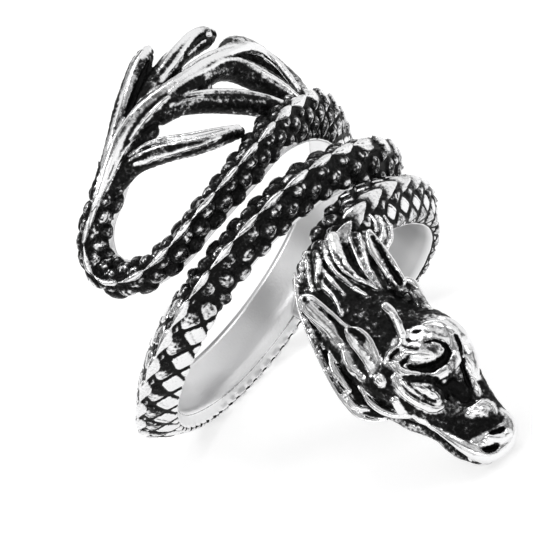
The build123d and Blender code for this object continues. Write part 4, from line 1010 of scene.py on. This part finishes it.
    ("lay", 0.03, 0.9, (2, -9.95, 0, 0.04, 0.08), (8, -9.2, 0, 0.06, 0.1), (14, -8.5, 0, 0.06, 0.1),
     (21, -7.7, 0, 0.05, 0.1), (27, -7.3, 0, 0.03, 0.08)),
    ("stain", 0, 0.42, (6, -8.95, 1.1, 0.08, 0.15), (14, -8.1, 1.1, 0.1, 0.15),
     (21, -7.4, 1.1, 0.1, 0.15), (30, -6.95, 1.1, 0.06, 0.15)),
]


def outward(points, quads):
    """Unit directions out of the surface at its points."""
    a, b, c, d = (points[quads[:, k]] for k in range(4))
    facing = np.cross(c - a, d - b)
    corners = quads.T.ravel()
    total = [np.bincount(corners, np.tile(facing[:, i], 4), len(points)) for i in range(3)]
    total = np.stack(total, axis=1)
    return total / (np.linalg.norm(total, axis=1)[:, None] + 1e-12)


def lumps(points, size, seed):
    """Smooth random values, from -1 to 1, in space."""
    grid = np.random.default_rng(seed).uniform(-1, 1, (32, 32, 32))
    q = points / size
    i = np.floor(q).astype(int)
    t = q - i
    t = t * t * (3 - 2 * t)
    total = 0
    for corner in np.ndindex(2, 2, 2):
        weight = np.prod(np.where(corner, t, 1 - t), axis=1)
        k = (i + np.array(corner)) % 32
        total = total + weight * grid[k[:, 0], k[:, 1], k[:, 2]]
    return total


def roughened(clay, low_lift, fine_lift, seed):
    """A carved field's points, quads and brightness, less even where it isn't polished."""
    points, quads = clay.mesh()
    raised = clay.sample(clay.blurred(0.18) - np.clip(clay.field, -0.6, 0.6), points)
    paint = clay.sample(clay.paint, points)
    dull = 1 - 0.75 * smoothstep(0.5, 0.9, paint)
    coarse, fine = lumps(points, 0.45, seed), lumps(points, 0.20, seed + 1)
    lift = dull * (low_lift * coarse + fine_lift * fine)
    bright = paint + 2.5 * np.clip(raised, -0.12, 0.12) + dull * (0.20 * coarse + 0.24 * fine)
    bright = np.clip(bright, 0, 1)
    bright = bright + 0.15 * smoothstep(0.7, 0.95, bright)
    return points + outward(points, quads) * lift[:, None], quads, bright


def tail(material):
    """The tail fan, carved flat and then bent round the finger."""
    per_degree = math.radians(MIDDLE)
    clay = Clay(TAIL_LOW, TAIL_HIGH, TAIL_CELL)
    for way, blend, bright, *rows in TAIL_STROKES:
        clay.stroke(way, blend, bright, [(angle * per_degree, *row) for angle, *row in rows])
    points, quads, bright = roughened(clay, 0.02, 0.03, 71)
    radius = np.maximum(points[:, 2], BORE + 0.03)
    placed = on_finger(points[:, 0] / per_degree, points[:, 1], radius)
    return mesh_piece("tail", placed, quads, bright, material)


# The plain hidden band that joins the second front strand and the neck to the back.
# Columns: turn angle, along (share of STEP), width (share of BAND), thickness (mm)
HIDDEN_BAND = [
    (103, -0.32, 2.10, 0.90),
    (116, -0.32, 2.20, 1.15),
    (130, -0.30, 2.15, 1.20),
    (144, -0.28, 2.00, 1.20),
    (156, -0.36, 1.75, 1.20),
    (166, -0.55, 1.20, 1.20),
    (174, -0.78, 0.60, 1.08),
]


def hidden_band(material):
    """A flat rounded band, hammered outside and plain in the bore."""
    rows, _ = smooth(HIDDEN_BAND, np.array(HIDDEN_BAND)[:, :1], 160)
    angle, along, width, thick = (rows[:, i][:, None] for i in range(4))
    around = np.linspace(0, 2 * math.pi, 96, endpoint=False)[None, :]
    c, s = np.cos(around), np.sin(around)
    across = np.sign(c) * np.abs(c) ** 0.4 * width * BAND / 2
    lift = (0.5 + 0.5 * np.sign(s) * np.abs(s) ** 0.4) * thick
    hammered = 0.03 * noise(angle / 1.5, across / 0.35, 91) * (s > 0)
    rings = on_finger(angle + 0 * c, along * STEP + across, BORE + 0.03 + lift + hammered)
    # the bore side at 2.0 takes the bore's roughness and a little painted shade
    bright = np.where(s < 0, 2.0, 1.15 + 0.1 * noise(angle / 2.0, across / 0.5, 92))
    return swept("hidden_band", rings, bright + 0 * angle, material)


ROUGH_CLEAN = 0.14  # roughness of polished metal
ROUGH_BLACK = 0.40
ROUGH_BORE = 0.22  # added in the bore


def feed(tree, made, inputs):
    """A node's inputs given values or linked to other nodes' outputs."""
    for name, value in inputs.items():
        if isinstance(value, bpy.types.NodeSocket):
            tree.links.new(value, made.inputs[name])
        else:
            made.inputs[name].default_value = value


def node(tree, kind, output, inputs=None, **settings):
    """One output of a new shader node."""
    made = tree.nodes.new("ShaderNode" + kind)
    for name, value in settings.items():
        setattr(made, name, value)
    feed(tree, made, inputs or {})
    return made.outputs[output]


def ranged(tree, value, start, end, low, high, **settings):
    """A value between start and end carried over to low and high."""
    inputs = {"Value": value, "From Min": start, "From Max": end, "To Min": low, "To Max": high}
    return node(tree, "MapRange", "Result", inputs, **settings)


def metal_material():
    """Polished steel whose grooves are blackened, led by the mesh's brightness, which also carries
    painted highlights and the bore's painted shade.
    """
    material = bpy.data.materials.new("oxidised_steel")
    material.use_nodes = True
    tree = material.node_tree
    place = node(tree, "TexCoord", "Object")
    fine = node(tree, "TexNoise", "Fac", {"Vector": place, "Scale": 5200, "Detail": 4, "Roughness": 0.6})
    layer = node(tree, "Attribute", "Fac", attribute_name="bright")
    wobble = node(tree, "Math", "Value", {0: fine, 1: 1.25, 2: -0.62}, operation="MULTIPLY_ADD")
    bright = node(tree, "Math", "Value", {0: layer, 1: wobble}, operation="ADD")
    colour = node(tree, "ValToRGB", "Color", {"Fac": bright})
    stops = colour.node.color_ramp.elements
    for at, grey in ((0.0, 0.002), (0.18, 0.006), (0.33, 0.035), (0.48, 0.22), (0.66, 0.62)):
        stop = stops.new(at) if at else stops[0]
        stop.color = (grey, grey, grey * 1.01, 1)
    stops[-1].color = (0.85, 0.85, 0.855, 1)
    # brightness from 1.9 on is the bore's, darkened by painted shade the further past it
    shade = ranged(tree, layer, 1.9, 3.0, 1.0, 0.35)
    shaded_colour = node(tree, "VectorMath", "Vector", {0: colour, "Scale": shade}, operation="SCALE")
    clean = ranged(tree, bright, 0.15, 0.50, 0.0, 1.0, interpolation_type="SMOOTHSTEP")
    rough = ranged(tree, clean, 0.0, 1.0, ROUGH_BLACK, ROUGH_CLEAN)
    bore = ranged(tree, layer, 1.2, 1.8, 0.0, ROUGH_BORE)
    rough = node(tree, "Math", "Value", {0: rough, 1: bore}, operation="ADD")
    bump = node(tree, "Bump", "Normal", {"Strength": 0.4, "Distance": 0.00004, "Height": fine})
    shader = {"IOR": 1.5, "Specular IOR Level": 0.08, "Base Color": shaded_colour}
    shader.update({"Metallic": clean, "Roughness": rough, "Normal": bump})
    feed(tree, tree.nodes["Principled BSDF"], shader)
    return material


def pale_floor():
    """A plain pale floor that reads as white paper."""
    mesh = bpy.data.meshes.new("floor")
    r = 3.0
    mesh.from_pydata([(-r, -r, 0), (r, -r, 0), (r, r, 0), (-r, r, 0)], [], [(0, 1, 2, 3)])
    floor = bpy.data.objects.new("floor", mesh)
    bpy.context.scene.collection.objects.link(floor)
    paint = bpy.data.materials.new("pale_floor")
    paint.use_nodes = True
    shader = {"Base Color": (0.50, 0.50, 0.50, 1), "Roughness": 0.9}
    shader.update({"Emission Color": (1, 1, 1, 1), "Emission Strength": 0.66})
    feed(paint.node_tree, paint.node_tree.nodes["Principled BSDF"], shader)
    mesh.materials.append(paint)


def studio():
    """A white surround with soft grey gaps, and three soft lamps."""
    world = bpy.data.worlds.new("studio")
    bpy.context.scene.world = world
    world.use_nodes = True
    tree = world.node_tree
    where = node(tree, "TexCoord", "Generated")
    gaps = node(tree, "TexNoise", "Fac", {"Vector": where, "Scale": 1.7, "Detail": 1.0})
    aside = {0: where, 1: (0.568, 0.690, -0.447)}
    lean = node(tree, "VectorMath", "Value", aside, operation="DOT_PRODUCT")
    total = node(tree, "Math", "Value", {0: lean, 1: 0.09, 2: gaps}, operation="MULTIPLY_ADD")
    ramp = node(tree, "ValToRGB", "Color", {"Fac": total})
    for stop, at, grey in zip(ramp.node.color_ramp.elements, (0.36, 0.51), (0.15, 1.0)):
        stop.position, stop.color = at, (grey, grey, grey, 1)
    feed(tree, tree.nodes["Background"], {"Strength": 1.0, "Color": ramp})
    for name, spot, size, power in (
        ("key", (-0.25, -0.30, 0.45), 0.20, 0.8),
        ("fill", (0.45, -0.35, 0.30), 0.25, 0.4),
        ("top", (0.0, 0.15, 0.55), 0.25, 0.6),
    ):
        lamp = bpy.data.lights.new(name, "AREA")
        lamp.shape, lamp.size, lamp.energy = "SQUARE", size, power
        light = bpy.data.objects.new(name, lamp)
        light.location = spot
        light.rotation_euler = (-Vector(spot)).to_track_quat("-Z", "Y").to_euler()
        bpy.context.scene.collection.objects.link(light)


def photo_camera():
    """The photograph's view of the ring, given round the finger and turned to the floor."""
    right = np.array([0.717, 0.661, -0.219])
    up = np.array([-0.632, 0.750, 0.193])
    back = np.cross(right, up)
    place = -0.91 * right + 2.265 * up + 300.0 * back
    axes = TURN @ np.stack([right, up, back], axis=1)
    camera = bpy.data.objects.new("camera", bpy.data.cameras.new("camera"))
    bpy.context.scene.collection.objects.link(camera)
    camera.data.lens = 300.5
    camera.data.sensor_width = 36.0
    camera.data.clip_start, camera.data.clip_end = 0.01, 20
    turn = Matrix(axes.tolist()).to_4x4()
    camera.matrix_world = Matrix.Translation(at_rest(place)) @ turn
    bpy.context.scene.camera = camera


photo_camera()
pale_floor()
studio()
bpy.context.scene.view_settings.view_transform = "Standard"

metal = metal_material()
long_strand(metal)
swept("neck_strand", *Strand(NECK_STRAND, NECK_LOOK).finished(), metal)
tail(metal)
head(metal)
hidden_band(metal)
